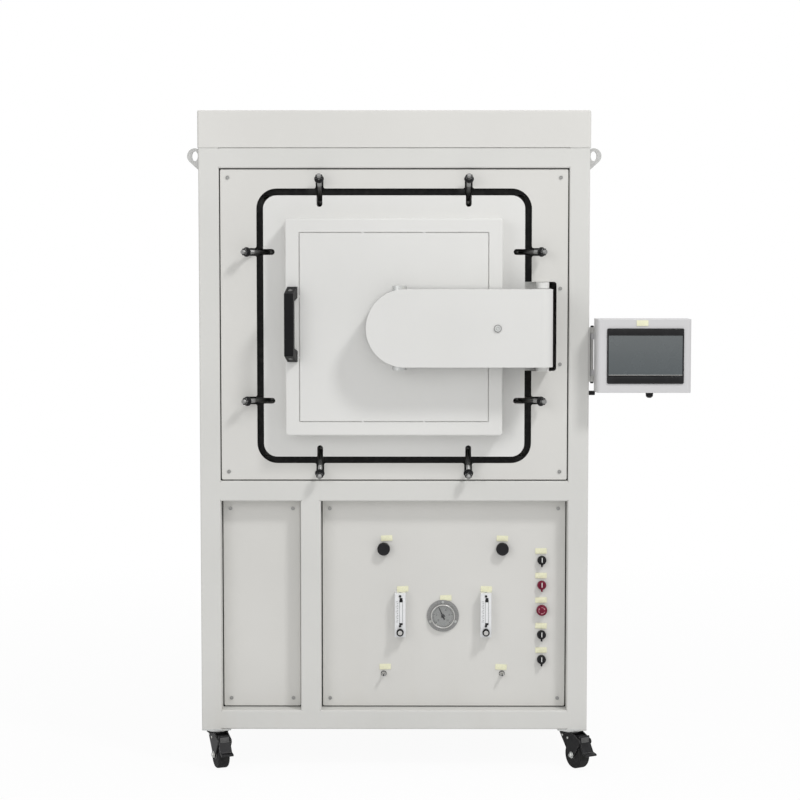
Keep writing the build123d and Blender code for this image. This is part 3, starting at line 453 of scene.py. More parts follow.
def makeSky():  # even light for the object, plain white for the camera, reflections and glass
    scene.world = bpy.data.worlds.new("studioSky")
    sky = Finish("studioSky", scene.world)
    camera, glossy, clear = [sky.node("ShaderNodeLightPath", {}, {}, f"Is {ray} Ray")
                             for ray in ("Camera", "Glossy", "Transmission")]
    shown = camera.maths("MAXIMUM", camera.maths("MAXIMUM", camera, glossy), clear)
    even, white = [sky.node("ShaderNodeBackground", {}, {"Color": (1, 1, 1, 1), "Strength": strength})
                   for strength in (studio["sky"], 1.0)]
    mix = sky.node("ShaderNodeMixShader", {}, {0: shown, 1: even, 2: white})
    sky.node("ShaderNodeOutputWorld", {}, {"Surface": mix})


def makeFloor():
    bpy.ops.mesh.primitive_plane_add(size=studio["floorSize"], location=(0, 0, 0))
    floor = bpy.context.object
    floor.name = "floor"
    finish = Finish("paleFloor")
    pale = finish.node("ShaderNodeBsdfDiffuse", {}, {"Color": studio["floorColour"]})
    white = finish.node("ShaderNodeEmission", {}, {"Color": (1, 1, 1, 1), "Strength": 1.0})
    path = finish.node("ShaderNodeLightPath", {}, {}, "Is Camera Ray")
    glossy = finish.node("ShaderNodeLightPath", {}, {}, "Is Glossy Ray")
    away = finish.node("ShaderNodeVectorMath", {"operation": "LENGTH"}, {0: finish.place}, "Value")
    far = finish.between(away, studio["floorNear"], studio["floorFar"])
    share = path * (studio["floorWhite"] + far * (1 - studio["floorWhite"])) + glossy * studio["floorGlossy"]
    mix = finish.node("ShaderNodeMixShader", {}, {0: share, 1: pale, 2: white})
    finish.node("ShaderNodeOutputMaterial", {}, {"Surface": mix})
    floor.data.materials.append(finish.material)


makeSky()
makeFloor()
print("floor and sky made")

# Modelling helpers, in millimetres


def alone(piece):  # the only one selected, and active
    bpy.ops.object.select_all(action="DESELECT")
    piece.select_set(True)
    bpy.context.view_layer.objects.active = piece


def named(piece, name):
    piece.name = name
    piece.data.name = name
    return piece


def started(name, maker, **options):  # a primitive, with its place in its mesh
    bpy.ops.object.select_all(action="DESELECT")
    maker(**options)
    piece = named(bpy.context.object, name)
    bpy.ops.object.transform_apply(location=True, rotation=True, scale=True)
    return piece


axisTurns = {"X": (0, math.pi / 2, 0), "Y": (math.pi / 2, 0, 0), "Z": (0, 0, 0)}


def rod(name, radius, length, place=(0, 0, 0), axis="Y", sides=32):
    return started(name, bpy.ops.mesh.primitive_cylinder_add, vertices=sides, radius=radius * mm,
                   depth=length * mm, location=Vector(place) * mm, rotation=axisTurns[axis])


def slab(name, size, place=(0, 0, 0)):
    return started(name, bpy.ops.mesh.primitive_cube_add, size=1, location=Vector(place) * mm,
                   scale=Vector(size) * mm)


def hoop(name, radius, thickness, place=(0, 0, 0), axis="Y", sides=40):
    return started(name, bpy.ops.mesh.primitive_torus_add, major_segments=sides, minor_segments=12,
                   major_radius=radius * mm, minor_radius=thickness * mm, location=Vector(place) * mm,
                   rotation=axisTurns[axis])


def edit(piece, kind, test, *steps):  # picks faces, edges or vertices by a test, then runs the steps
    alone(piece)
    bpy.ops.object.mode_set(mode="EDIT")
    bpy.ops.mesh.select_mode(type=kind)
    bpy.ops.mesh.select_all(action="DESELECT")
    mesh = bmesh.from_edit_mesh(piece.data)
    for part in {"FACE": mesh.faces, "EDGE": mesh.edges, "VERT": mesh.verts}[kind]:
        part.select_set(bool(test(part)))
    mesh.select_flush_mode()
    bmesh.update_edit_mesh(piece.data)
    for operator, options in steps:
        operator(**options)
    bpy.ops.object.mode_set(mode="OBJECT")
    return piece


def facing(direction, above=0.9):
    wanted = Vector(direction)
    return lambda face: face.normal.dot(wanted) > above


def inset(amount):
    return bpy.ops.mesh.inset, {"thickness": amount * mm, "use_even_offset": True}


def moved(x, y, z):
    return bpy.ops.transform.translate, {"value": (x * mm, y * mm, z * mm)}


def extruded(x, y, z):
    return bpy.ops.mesh.extrude_region_move, {"TRANSFORM_OT_translate": {"value": (x * mm, y * mm, z * mm)}}


def resized(x, y, z, centre=(0, 0, 0)):
    return bpy.ops.transform.resize, {"value": (x, y, z), "center_override": Vector(centre) * mm}


def stepped(piece, direction, *pairs):  # insets of the face that looks that way, each moved outwards
    steps = []
    for amount, rise in pairs:
        steps += [inset(amount), moved(*(part * rise for part in direction))]
    return edit(piece, "FACE", facing(direction), *steps)


def rounded(piece, width, segments=2, angle=35):
    alone(piece)
    modifier = piece.modifiers.new("round", "BEVEL")
    modifier.width = width * mm
    modifier.segments = segments
    modifier.limit_method = "ANGLE"
    modifier.angle_limit = math.radians(angle)
    bpy.ops.object.modifier_apply(modifier=modifier.name)
    return piece


def joined(name, pieces):
    bpy.ops.object.select_all(action="DESELECT")
    for piece in pieces:
        piece.select_set(True)
    bpy.context.view_layer.objects.active = pieces[0]
    if len(pieces) > 1:
        bpy.ops.object.join()
    return named(pieces[0], name)


def copied(model, name, place):  # a copy with its own mesh, moved in its mesh
    piece = model.copy()
    piece.data = model.data.copy()
    scene.collection.objects.link(piece)
    piece.data.transform(place)
    return named(piece, name)


def dropped(*pieces):
    for piece in pieces:
        bpy.data.objects.remove(piece)


def put(piece, place):
    piece.data.transform(place)
    return piece


def placed(x, y, z):  # for a piece drawn about the origin
    return Matrix.Translation(at(x, y, z))


def shifted(x, y, z):
    return Matrix.Translation(Vector((x, y, z)) * mm)


def turned(degrees, axis):
    return Matrix.Rotation(math.radians(degrees), 4, axis)


def onRing(radius, degrees):  # the x and z of a place on a ring
    angle = math.radians(degrees)
    return math.cos(angle) * radius, math.sin(angle) * radius


def settled(piece, finish, body, slotName=None, replaced=(), angle=35):  # finish is a key of look
    alone(piece)
    piece.data.materials.clear()
    piece.data.materials.append(look[finish])
    bpy.ops.object.shade_smooth_by_angle(angle=math.radians(angle))
    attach(piece, body)
    if replaced:
        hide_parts(*replaced)
    return piece


def sidesOf(node):  # its low and high corners, in millimetres from the cabinet
    return [(corner - at(0, 0, 0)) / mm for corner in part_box(node)]


# Dome head screws with a hexagon socket
domeScrew = {
    "head": 5.0, "height": 2.6, "socket": 2.9, "socketDepth": 1.7,
    "inset": (20, 22),  # from the panel's edge
    "armInset": 102,  # above and below the arm's middle
}


def domeHead(name, radius, height, socket, depth):  # its seat in the plane y = 0, its head towards -Y
    head = rod(name, radius, height * 0.35, (0, -height * 0.175, 0), "Y", 24)
    for share, rise in [(0.93, 0.30), (0.78, 0.20), (0.58, 0.15)]:
        edit(head, "FACE", facing((0, -1, 0)), extruded(0, -height * rise, 0), resized(share, 1, share))
    socketShare = socket / radius / (0.93 * 0.78 * 0.58)
    edit(head, "FACE", facing((0, -1, 0)), extruded(0, 0, 0), resized(socketShare, 1, socketShare),
         extruded(0, depth, 0))
    wrench = rod(name, socket * 0.98, depth * 0.5, (0, depth * 0.3 - height, 0), "Y", 6)
    return joined(name, [rounded(head, 0.12, 1, 50), wrench])


def panelScrewPlaces():
    insetX, insetZ = domeScrew["inset"]
    places = []
    for node in ("upper_front_panel", "lower_left_panel", "control_panel"):
        low, high = sidesOf(node)
        places += [(x, low.y, z) for x in (low.x + insetX, high.x - insetX)
                   for z in (low.z + insetZ, high.z - insetZ)]
    low, high = sidesOf("upper_front_panel")
    armLow, armHigh = sidesOf("arm_cover")
    return places + [(high.x - insetX, low.y, (armLow.z + armHigh.z) / 2 + side * domeScrew["armInset"])
                     for side in (-1, 1)]


screwModel = domeHead("screwModel", domeScrew["head"], domeScrew["height"], domeScrew["socket"],
                      domeScrew["socketDepth"])
heads = [copied(screwModel, "head", placed(*place)) for place in panelScrewPlaces()]
settled(joined("panelScrews", heads), "screw", "root", "plated", ["panel_screws"])
print("panel screws:", len(heads))

# Swing bolts
swingBolt = {
    "radius": 6, "length": 134, "eye": 13, "eyeWidth": 14,
    "threadFrom": 84, "pitch": 1.75, "threadDepth": 0.5,
    "nutAcross": 19, "nutHeight": 11, "nutPlace": 115, "washer": 13, "washerThickness": 2.5,
    "offset": 200, "top": 335.5, "pivotY": 72.2, "released": 31, "doorHeight": 1208,
}


def boltShank():  # drawn along -Y from its pivot, the eye's axis is X
    size = swingBolt
    radius, start, eyeEnd = size["radius"], size["threadFrom"], size["eye"] * 0.6
    plain = rod("shank", radius, start - eyeEnd, (0, -(start + eyeEnd) / 2, 0), "Y", 24)
    threadLength = size["length"] - start
    thread = rod("thread", radius, threadLength, (0, -start - threadLength / 2, 0), "Y", 24)
    turnsOfThread = int(threadLength / size["pitch"])
    edit(thread, "EDGE", lambda edge: abs((edge.verts[0].co - edge.verts[1].co).y) > 1 * mm,
         (bpy.ops.mesh.subdivide, {"number_cuts": 2 * turnsOfThread - 1}))
    step = threadLength / (2 * turnsOfThread)

    def inValley(vertex):
        return round((-start - vertex.co.y / mm) / step) % 2 == 0

    share = 1 - size["threadDepth"] / radius
    edit(thread, "VERT", inValley, resized(share, 1, share))
    stepped(thread, (0, -1, 0), (0.9, 0.9))
    wall = size["eye"] - radius
    eye = hoop("eye", (size["eye"] + radius) / 2, wall / 2, (0, 0, 0), "X", 32)
    edit(eye, "VERT", lambda vertex: True, resized(size["eyeWidth"] / wall, 1, 1))
    return joined("boltModel", [plain, thread, eye])


def boltNut():
    size = swingBolt
    place, height, flat = size["nutPlace"], size["nutHeight"], size["washerThickness"]
    nut = rod("nut", size["nutAcross"] / 2 / math.cos(math.pi / 6), height,
              (0, -place - height / 2, 0), "Y", 6)
    rounded(nut, 1.1, 3, 20)
    for side in (-1, 1):
        stepped(nut, (0, side, 0), (1.4, 0.35), (1.6, -0.6))
    washer = rod("washer", size["washer"], flat, (0, flat / 2 - place, 0), "Y", 36)
    return joined("nutModel", [nut, rounded(washer, 0.5, 2)])


boltModel, nutModel = boltShank(), boltNut()
boltTurns = [(turn, side * swingBolt["offset"]) for turn in (0, 90, 180, 270) for side in (-1, 1)]
for name, (turn, offset) in zip(boltNames, boltTurns):
    place = (placed(0, 0, swingBolt["doorHeight"]) @ turned(turn, "Y")
             @ shifted(offset, swingBolt["pivotY"], swingBolt["top"]) @ turned(-swingBolt["released"], "X"))
    words = name.title().replace("_", "")
    settled(copied(boltModel, "swingBolt" + words, place), "bolt", "bolt_" + name, "plated",
            ["swing_bolt_" + name])
    settled(copied(nutModel, "clampNut" + words, place), "blackOxide", "bolt_" + name, "black_steel")
dropped(boltModel, nutModel)
print("swing bolts:", len(boltTurns))

# Door: arm screw, groove ties, handle screws
doorTrim = {
    "height": 1208, "armScrewX": 272, "armFront": -158,
    "armScrew": 8.3, "armScrewHead": 4.05, "armSocket": 4.6,
    "armSocketDepth": 2.4, "boxFront": -66, "groove": 251.5, "grooveWidth": 3.2, "tie": 7, "tieDepth": 3,
    "tiePlaces": (-83, 80), "tieLift": 2, "handlePlace": (-269, -66, 1216), "handleLean": -9.5,
    "handleScrew": 5.6, "handleScrewHeight": 3.0, "handleSocket": 2.8, "handleSocketDepth": 1.8,
    "slopeScrew": (-28.9, 89.8), "slopeTilt": 66.3,
}


def makeGrooveTies():  # short tacks that bridge the groove in the door cover
    size = doorTrim
    long, deep, wide = size["tie"], size["tieDepth"], size["grooveWidth"]
    ties = []
    for side in (-1, 1):
        for place in size["tiePlaces"]:
            spots = ((long, deep, wide), (place, deep / 2, side * size["groove"])), \
                    ((wide, deep, long), (side * size["groove"], deep / 2, place + size["tieLift"]))
            ties += [rounded(slab("tie", *spot), 0.5, 2) for spot in spots]
    piece = put(joined("grooveTies", ties), placed(0, size["boxFront"] + 0.3, size["height"]))
    settled(piece, "door", "door", "door")


def makeHandleScrews():  # one in each sloping end of the handle
    size = doorTrim
    model = domeHead("handleScrewModel", size["handleScrew"], size["handleScrewHeight"], size["handleSocket"],
                     size["handleSocketDepth"])
    out, rise = size["slopeScrew"]
    lean = placed(*size["handlePlace"]) @ turned(size["handleLean"], "Z")
    spots = [lean @ shifted(0, out, side * rise) @ turned(-side * size["slopeTilt"], "X") for side in (-1, 1)]
    screws = [copied(model, "screw", spot) for spot in spots]
    dropped(model)
    settled(joined("handleScrews", screws), "bolt", "door", "plated")


armScrew = domeHead("armScrew", doorTrim["armScrew"], doorTrim["armScrewHead"], doorTrim["armSocket"],
                    doorTrim["armSocketDepth"])
put(armScrew, placed(doorTrim["armScrewX"], doorTrim["armFront"], doorTrim["height"]))
settled(armScrew, "bolt", "arm", "plated")
makeGrooveTies()
makeHandleScrews()
print("door trim made")

# Touch screen
touchScreen = {
    "left": 538.5, "width": 252, "front": -75, "middleZ": 1132, "height": 196, "offset": 3.5,
    "faceWidth": 196, "faceHeight": 105, "faceLift": 2.5, "faceDepth": 0.9, "bezelProud": 3, "line": 1.1,
    "tagX": 659.5, "tagZ": 1219.5, "pinX": 534.3, "pinY": 18, "pinReach": 73.5, "side": 525,
    "glandPlace": 146, "glandNut": 11.2, "glandHeight": 7, "glandCone": 9,
    "bezelWidth": 204, "bezelHeight": 147, "barHeight": 17.5, "barBulge": 1.4,
    # painted reflection: the dark screen's colour at its bottom and at its top
    "lowReflectionTone": (0.072, 0.086, 0.092, 1), "highReflectionTone": (0.100, 0.112, 0.116, 1),
}


def screenGlass(name):
    finish = Finish(name)
    # painted reflection: the screen's grey base colour stands in for reflected light, lighter towards its top
    low = (touchScreen["middleZ"] - 55) * mm
    reflectionFade = finish.between(finish.part(finish.place, 2), low, low + 0.11)
    smudge = finish.between(finish.noise(26.0, 4.0), 0.5, 0.75)
    tone = finish.mixed(reflectionFade, touchScreen["lowReflectionTone"], touchScreen["highReflectionTone"])
    return finish.surface(base_color=tone, coat_weight=0.35, roughness=0.22 + smudge * 0.14,
                          normal=finish.bumped(finish.noise(1800.0, 1.0), 0.00001, 0.2))


look["screenGlass"] = screenGlass("screenGlass")


def tagPlate(name, width, height, thickness):
    plate = slab(name, (width, thickness, height), (0, -thickness / 2, 0))
    edit(plate, "EDGE", lambda edge: abs((edge.verts[0].co - edge.verts[1].co).y) > thickness * 0.5 * mm,
         (bpy.ops.mesh.bevel, {"offset": 1.6 * mm, "segments": 4}))
    return stepped(plate, (0, -1, 0), (0.9, 0.25))


def makeScreen():
    size = touchScreen
    middleX = size["left"] + size["width"] / 2 + size["offset"]
    face, faceZ = size["front"] - size["bezelProud"], size["middleZ"] + size["faceLift"]
    glass = stepped(slab("screenFace", (size["faceWidth"], size["faceDepth"], size["faceHeight"])),
                    (0, -1, 0), (2.0, 0.15))
    put(glass, placed(middleX, face - 0.15, faceZ))
    settled(rounded(glass, 0.4, 2), "screenGlass", "screen", "bezel")
    highlightLines, bars = [], []
    for side in (-1, 1):
        # painted highlight: thin stainless strips along the screen's top and bottom edges stand in for the
        # highlight lines there
        edgeZ = side * (size["faceHeight"] / 2 + 0.4)
        highlightLines.append(rounded(slab("line", (size["faceWidth"], 0.8, size["line"]), (0, 0, edgeZ)), 0.2, 2))
        bar = slab("bar", (size["bezelWidth"] - 3, size["barBulge"], size["barHeight"]),
                   (0, -size["barBulge"] / 2, 0))
        bar = rounded(stepped(bar, (0, -1, 0), (2.4, 0.5)), 0.8, 3)
        bars.append(put(bar, shifted(0, 0, side * (size["bezelHeight"] - size["barHeight"] - 3) / 2)))
    highlightLines = put(joined("screenHighlightLines", highlightLines), placed(middleX, face - 0.5, faceZ))
    settled(highlightLines, "stainless", "screen", "stainless")
    bars = put(joined("bezelBars", bars), placed(middleX, face, size["middleZ"]))
    settled(bars, "bezel", "screen", "bezel")


def makeScreenTrim():
    size = touchScreen
    bottom = size["middleZ"] - size["height"] / 2
    nutHeight, cone, nutRadius = size["glandHeight"], size["glandCone"], size["glandNut"]
    nut = rounded(rod("gland", nutRadius, nutHeight, (0, 0, -nutHeight / 2), "Z", 6), 0.9, 2, 20)
    collar = rod("collar", nutRadius * 0.86, cone / 2, (0, 0, -nutHeight - cone / 4), "Z", 24)
    edit(collar, "FACE", facing((0, 0, -1)), extruded(0, 0, -cone * 0.3), resized(0.74, 0.74, 1),
         extruded(0, 0, -cone * 0.2), resized(0.62, 0.62, 1))
    gland = joined("cableGland", [nut, rounded(collar, 0.5, 2, 50)])
    put(gland, placed(size["left"] + size["glandPlace"], size["front"] + 45, bottom))
    settled(gland, "black", "screen", "black_plastic")
    caps = []
    for side in (-1, 1):
        cap = rounded(rod("cap", 5.2, 3.5, (0, 0, side * (size["pinReach"] + 1.75)), "Z", 6), 0.7, 2, 20)
        caps.append(stepped(cap, (0, 0, side), (1.3, 0.8)))
    caps = put(joined("screenPinNuts", caps), placed(size["pinX"], size["pinY"], size["middleZ"]))
    settled(caps, "blackOxide", "root", "black_steel")
    footEnd = size["pinX"] + 8
    foot = slab("screenHingeFoot", (footEnd - size["side"], 22, 11))
    foot = rounded(stepped(foot, (1, 0, 0), (1.5, 1.0)), 1.2, 3)
    put(foot, placed((footEnd + size["side"]) / 2, 30, bottom - 6.8))
    settled(foot, "blackOxide", "root", "black_steel")


domeModel = domeHead("domeModel", 3.6, 2.0, 2.0, 1.2)
tagModel = tagPlate("tagModel", 31, 15, 1.8)
makeScreen()
makeScreenTrim()
print("touch screen made")

# Control panel
controls = {
    "face": 44, "middleX": 133, "collar": 4, "knobGap": 0.5,
    "gaugeZ": 414.5, "gaugeDepth": 14, "dial": 29.4, "dialDepth": 3.4,
    "tickRing": 26, "ticks": 31, "tickSpan": 270, "numberRing": 17.6, "numberSize": 7.6, "numbers": 6,
    "longTick": (4.6, 1.1, 1.0), "shortTick": (2.6, 0.6, 0),  # length, width, shift inwards
    "flangeScrewRing": 37.5, "flangeScrews": (90, 205, 335), "needleAngle": 25,
    "needle": (4.6, 0.9, 38), "needleUp": 8, "needleHub": (5.2, 3.2),  # hub: radius, length
    "flowSpread": 117, "flowBottom": 360, "flowHeight": 121, "flowDepth": 28, "tubeX": 2.5,
    "flowKnob": 10, "flowKnobZ": 374, "flowKnobDepth": 14,
    "scaleMarks": 13, "scaleX": -8.5, "scaleFoot": 42, "scaleStep": 4.6,
    "longMark": (6.5, 0), "shortMark": (4, 1.2),  # length, shift towards the tube
    "tubeHalf": 4.4, "tubeWall": (0.8, 0.16, 70), "tubeFoot": 68, "plug": 4.7,
    "stops": ((102, 12), (36, 6)), "plugs": ((114, 13), (27.5, 5)),  # height above the foot, length
    "float": (3.6, 6), "floatZ": 36, "blockScrews": (112.5, 30.5),
    "valveSpread": 162, "valveZ": 600, "valveRadius": 17.5, "valveDepth": 16,
    "nozzleZ": 254.5, "nozzleReach": 24, "washer": (7.8, 1.6), "barb": (4.6, 3), "bore": (2.7, 0.7),
    "switchX": 403, "switchTop": 568.5, "switchPitch": 68.5, "selectorDepth": 16, "selectorRadius": 12.2,
    "selectorRows": ((0, "top"), (1, "red"), (3, "lower"), (4, "bottom")),
    "boss": 7, "wing": (6.4, 9, 19.5), "tab": (5.6, 8, 7), "selectorLine": (2.2, 0.4, 13),
    "buttonRow": 2, "mushroomFront": 25.5, "arrowRing": 8.4, "arrowDash": (2.4, 0.3, 1.5), "arrowDashes": 5,
    "dashTurn": 12, "tipTurn": 62,
    "tagPlaces": ((-20.7, 628.4), (295.1, 627.6), (23, 488.4), (251.8, 488.4), (141, 463.4),
                  (-25, 273.4), (292.8, 272.5), (400.9, 593.1), (401.3, 525.5), (401.6, 457.9),
                  (401.9, 386.8), (402.3, 319.5)),
    "tagTurns": (-3, 2, -2, 3, -2, -1, 3, -1, 1, -2, 2, -1),
}
printed = {
    "tag": (0.84, 0.83, 0.60, 1),
    "dial": (0.46, 0.46, 0.45, 1),
    "white": (0.82, 0.82, 0.80, 1),
    "mark": (0.018, 0.018, 0.020, 1),
    "arrow": (0.62, 0.30, 0.34, 1),
}


def labelStock(name, colour, roughness):
    finish = Finish(name)
    fibres = finish.noise(260.0, 3.0)
    grime = finish.between(finish.noise(40.0, 4.0), 0.5, 0.75)
    tone = finish.mixed(finish.between(fibres, 0.35, 0.65), shade(colour, 0.95), shade(colour, 1.04))
    tone = finish.mixed(grime * 0.22, tone, shade(colour, 0.70))
    return finish.surface(base_color=tone, roughness=roughness + grime * 0.15,
                          normal=finish.bumped(fibres, 0.00003, 0.4))


for key, name, roughness in (
        ("tag", "paleTag", 0.42), ("dial", "dialFace", 0.5), ("white", "whitePrint", 0.42),
        ("mark", "blackPrint", 0.5), ("arrow", "paleRedPrint", 0.42)):
    look[key] = labelStock(name, printed[key], roughness)


def makeTags():
    size = controls
    tags = [copied(tagModel, "tag", placed(x, size["face"], z) @ turned(turn, "Y"))
            for (x, z), turn in zip(size["tagPlaces"], size["tagTurns"])]
    settled(joined("panelTags", tags), "tag", "root", "panel")
    spot = placed(touchScreen["tagX"], touchScreen["front"], touchScreen["tagZ"])
    settled(copied(tagModel, "screenTag", spot), "tag", "screen", "panel")


def figure(words, height, place):  # one plain number, upright on a dial
    bpy.ops.object.select_all(action="DESELECT")
    bpy.ops.object.text_add()
    text = bpy.context.object.data
    text.body = words
    text.size = height * mm
    text.extrude = 0.06 * mm
    text.align_x = "CENTER"
    text.align_y = "CENTER"
    bpy.ops.object.convert(target="MESH")
    return put(bpy.context.object, shifted(*place) @ turned(90, "X"))


def dialTurn(index, count):  # degrees round the dial's scale, from its low end
    return 90 + controls["tickSpan"] * (0.5 - index / (count - 1))


def makeGaugeDial():
    size = controls
    spot = placed(size["middleX"], size["face"], size["gaugeZ"])
    dial = rod("gaugeDial", size["dial"], 0.8, (0, -size["dialDepth"], 0), "Y", 64)
    settled(put(stepped(dial, (0, -1, 0), (1.2, -0.2)), spot), "dial", "root", "gauge")
    printedFace = -size["dialDepth"] - 0.3
    marks = []
    for tick in range(size["ticks"]):
        length, width, inwards = size["shortTick" if tick % 6 else "longTick"]
        mark = slab("mark", (length, 0.16, width), (size["tickRing"] - inwards, printedFace, 0))
        marks.append(put(mark, turned(-dialTurn(tick, size["ticks"]), "Y")))
    for number in range(size["numbers"]):
        x, z = onRing(size["numberRing"], dialTurn(number, size["numbers"]))
        marks.append(figure(str(number * 2), size["numberSize"], (x, printedFace, z)))
    settled(put(joined("gaugeMarks", marks), spot), "mark", "root", "gauge")
    screws = []
    for turn in size["flangeScrews"]:
        x, z = onRing(size["flangeScrewRing"], turn)
        screws.append(copied(domeModel, "screw", spot @ shifted(x, -3, z)))
    settled(joined("gaugeScrews", screws), "zinc", "root", "plated")
    rim = hoop("gaugeRim", size["dial"] + 2.0, 1.7, (0, 0.4 - size["gaugeDepth"], 0), "Y", 64)
    settled(put(rim, spot), "stainless", "root", "stainless")


def knurledKnob(name, radius, depth, ribs, groove):  # its back in the plane y = 0, its face towards -Y
    knob = rod(name, radius, depth, (0, -depth / 2, 0), "Y", 2 * ribs)

    def valley(edge):
        middleOfEdge = (edge.verts[0].co + edge.verts[1].co) / 2
        along = abs((edge.verts[0].co - edge.verts[1].co).y) > 0.5 * depth * mm
        turn = math.atan2(middleOfEdge.z, middleOfEdge.x) / (2 * math.pi) * 2 * ribs
        return along and round(turn) % 2 == 0

    edit(knob, "EDGE", valley, resized(1 - groove / radius, 1, 1 - groove / radius))
    stepped(knob, (0, -1, 0), (radius * 0.10, radius * 0.05), (radius * 0.12, -radius * 0.05),
            (radius * 0.35, radius * 0.02))
    return rounded(knob, 0.25, 1, 50)


def makeKnobs():
    size = controls
    valve = knurledKnob("valveModel", size["valveRadius"] - 0.1, size["valveDepth"] - 1, 30, 0.5)
    flow = knurledKnob("flowModel", size["flowKnob"] - 0.1, size["flowKnobDepth"] - 1, 20, 0.4)
    cap = rod("capModel", size["flowKnob"] * 0.6, 1.0, (0, -size["flowKnobDepth"] + 0.5, 0), "Y", 32)
    stepped(cap, (0, -1, 0), (0.8, 0.25), (1.6, -0.2))
    kinds = ((valve, "valve", size["valveSpread"], size["collar"], size["valveZ"]),
             (flow, "flow", size["flowSpread"], size["flowDepth"], size["flowKnobZ"]))
    for name, side in (("Left", -1), ("Right", 1)):
        key = name.lower()
        for model, kind, spread, proud, z in kinds:
            spot = placed(size["middleX"] + side * spread, size["face"] - proud - size["knobGap"], z)
            settled(copied(model, kind + "Knob" + name, spot), "black", kind + "_" + key,
                    "black_plastic", [kind + "_knob_" + key])
        settled(copied(cap, "flowCap" + name, spot), "stainless", "flow_" + key, "stainless")
    dropped(valve, flow, cap)


def makeFlowmeters():
    size = controls
    depth, height = size["flowDepth"], size["flowHeight"]
    prints, walls, backs, plugs = [], [], [], []
    for side in (-1, 1):
        foot = placed(size["middleX"] + side * size["flowSpread"], size["face"] - depth, size["flowBottom"])
        for step in range(size["scaleMarks"]):
            length, lead = size["shortMark" if step % 3 else "longMark"]
            place = shifted(size["scaleX"] + lead, -0.08, size["scaleFoot"] + step * size["scaleStep"])
            prints.append(put(slab("mark", (length, 0.14, 0.9)), foot @ place))
        for edge in (-size["tubeHalf"], size["tubeHalf"]):
            wall = rounded(slab("wall", size["tubeWall"]), 0.05, 1)
            walls.append(put(wall, foot @ shifted(size["tubeX"] + edge, -0.08, size["tubeFoot"])))
        for z, tall in size["stops"]:
            stop = put(slab("stop", (8, 0.6, tall)), foot @ shifted(size["tubeX"], -0.2, z))
            walls.append(rounded(stop, 0.25, 2))
        back = put(slab("back", (24, 0.6, height - 8)), foot @ shifted(0, depth - 0.8, height / 2))
        backs.append(stepped(back, (0, -1, 0), (1.5, -0.1)))
        for z, tall in size["plugs"]:
            plug = rounded(rod("plug", size["plug"], tall, axis="Z", sides=24), 0.8, 2)
            plugs.append(put(plug, foot @ shifted(0, depth / 2, z)))
        ball = stepped(rod("float", *size["float"], axis="Z", sides=20), (0, 0, 1), (1.1, 1.4))
        plugs.append(put(stepped(ball, (0, 0, -1), (2.2, 3.2)), foot @ shifted(0, depth / 2, size["floatZ"])))
        plugs += [copied(domeModel, "screw", foot @ shifted(0, 0, z)) for z in size["blockScrews"]]
    for name, pieces, finish, slotName in (("flowScaleMarks", prints, "mark", "clear"),
                                           ("flowTubeEdges", walls, "blackOxide", "clear"),
                                           ("flowScaleBacks", backs, "white", "clear"),
                                           ("flowPlugs", plugs, "blackOxide", "black_steel")):
        settled(joined(name, pieces), finish, "root", slotName)


def makeNeedle():  # a tapered pointer with a hub, as the rest pose shows it
    size = controls
    up, length = size["needleUp"], size["needle"][2]
    pointer = slab("pointer", size["needle"], (0, 0, up))
    edit(pointer, "FACE", facing((0, 0, 1)), resized(0.35, 1, 1, (0, 0, up + length / 2)))
    hub = stepped(rod("hub", *size["needleHub"], (0, 0.9, 0), "Y", 28), (0, -1, 0), (1.2, 0.6))
    needle = joined("gaugePointer", [rounded(pointer, 0.2, 2), rounded(hub, 0.3, 2)])
    spot = placed(size["middleX"], size["face"] - size["gaugeDepth"] / 2 - 0.6, size["gaugeZ"])
    put(needle, spot @ turned(-size["needleAngle"], "Y"))
    settled(needle, "black", "needle", "black_steel", ["gauge_needle"])


def selectorSpots():
    size = controls
    seat = size["face"] - size["collar"] - size["knobGap"]
    return [(name, placed(size["switchX"], seat, size["switchTop"] - row * size["switchPitch"]))
            for row, name in size["selectorRows"]]


def makeSelectors():  # a round boss, a wing to grip and a short pointer tab
    size = controls
    radius, depth = size["selectorRadius"], size["selectorDepth"]
    boss = rod("boss", radius, size["boss"], (0, -size["boss"] / 2, 0), "Y", 48)
    boss = rounded(stepped(boss, (0, -1, 0), (1.6, 1.0)), 0.5, 2)
    wing = slab("wing", size["wing"], (0, size["wing"][1] / 2 - depth, 0))
    wing = rounded(edit(wing, "FACE", facing((0, -1, 0)), resized(0.82, 1, 0.92)), 0.9, 3)
    tab = slab("tab", size["tab"], (0, -5.5, -radius - 2.4))
    tab = rounded(edit(tab, "FACE", facing((0, 0, -1)), resized(0.7, 0.8, 1, (0, -5.5, -15))), 0.8, 3)
    model = joined("selectorModel", [boss, wing, tab])
    for name, spot in selectorSpots():
        finish = "red" if name == "red" else "black"
        settled(copied(model, "selectorKnob" + name.title(), spot), finish, "selector_" + name,
                finish + "_plastic", ["selector_" + name])
    dropped(model)


def makeNozzleTrim():  # a black washer, a black barb and a disc of painted shade in the bore of each gas nozzle
    size = controls
    end = -size["nozzleReach"]
    washers, bores = [], []
    for side in (-1, 1):
        spot = placed(size["middleX"] + side * size["valveSpread"], size["face"], size["nozzleZ"])
        washer = stepped(rod("washer", *size["washer"], (0, -0.8, 0), "Y", 32), (0, -1, 0), (1.0, 0.3))
        washers.append(put(rounded(washer, 0.3, 2), spot))
        barb = rod("barb", *size["barb"], (0, end + 5, 0), "Y", 28)
        edit(barb, "FACE", facing((0, -1, 0)), resized(0.9, 1, 0.9))
        # painted shade: a black disc set in the nozzle's end stands in for the shade inside its bore
        bore = rod("bore", *size["bore"], (0, end - 0.1, 0), "Y", 24)
        bores += [put(barb, spot), put(stepped(bore, (0, -1, 0), (0.6, -0.4)), spot)]
    settled(joined("nozzleWashers", washers), "black", "root", "black_plastic")
    settled(joined("nozzleBarbsAndBoreShade", bores), "blackOxide", "root", "black_steel")


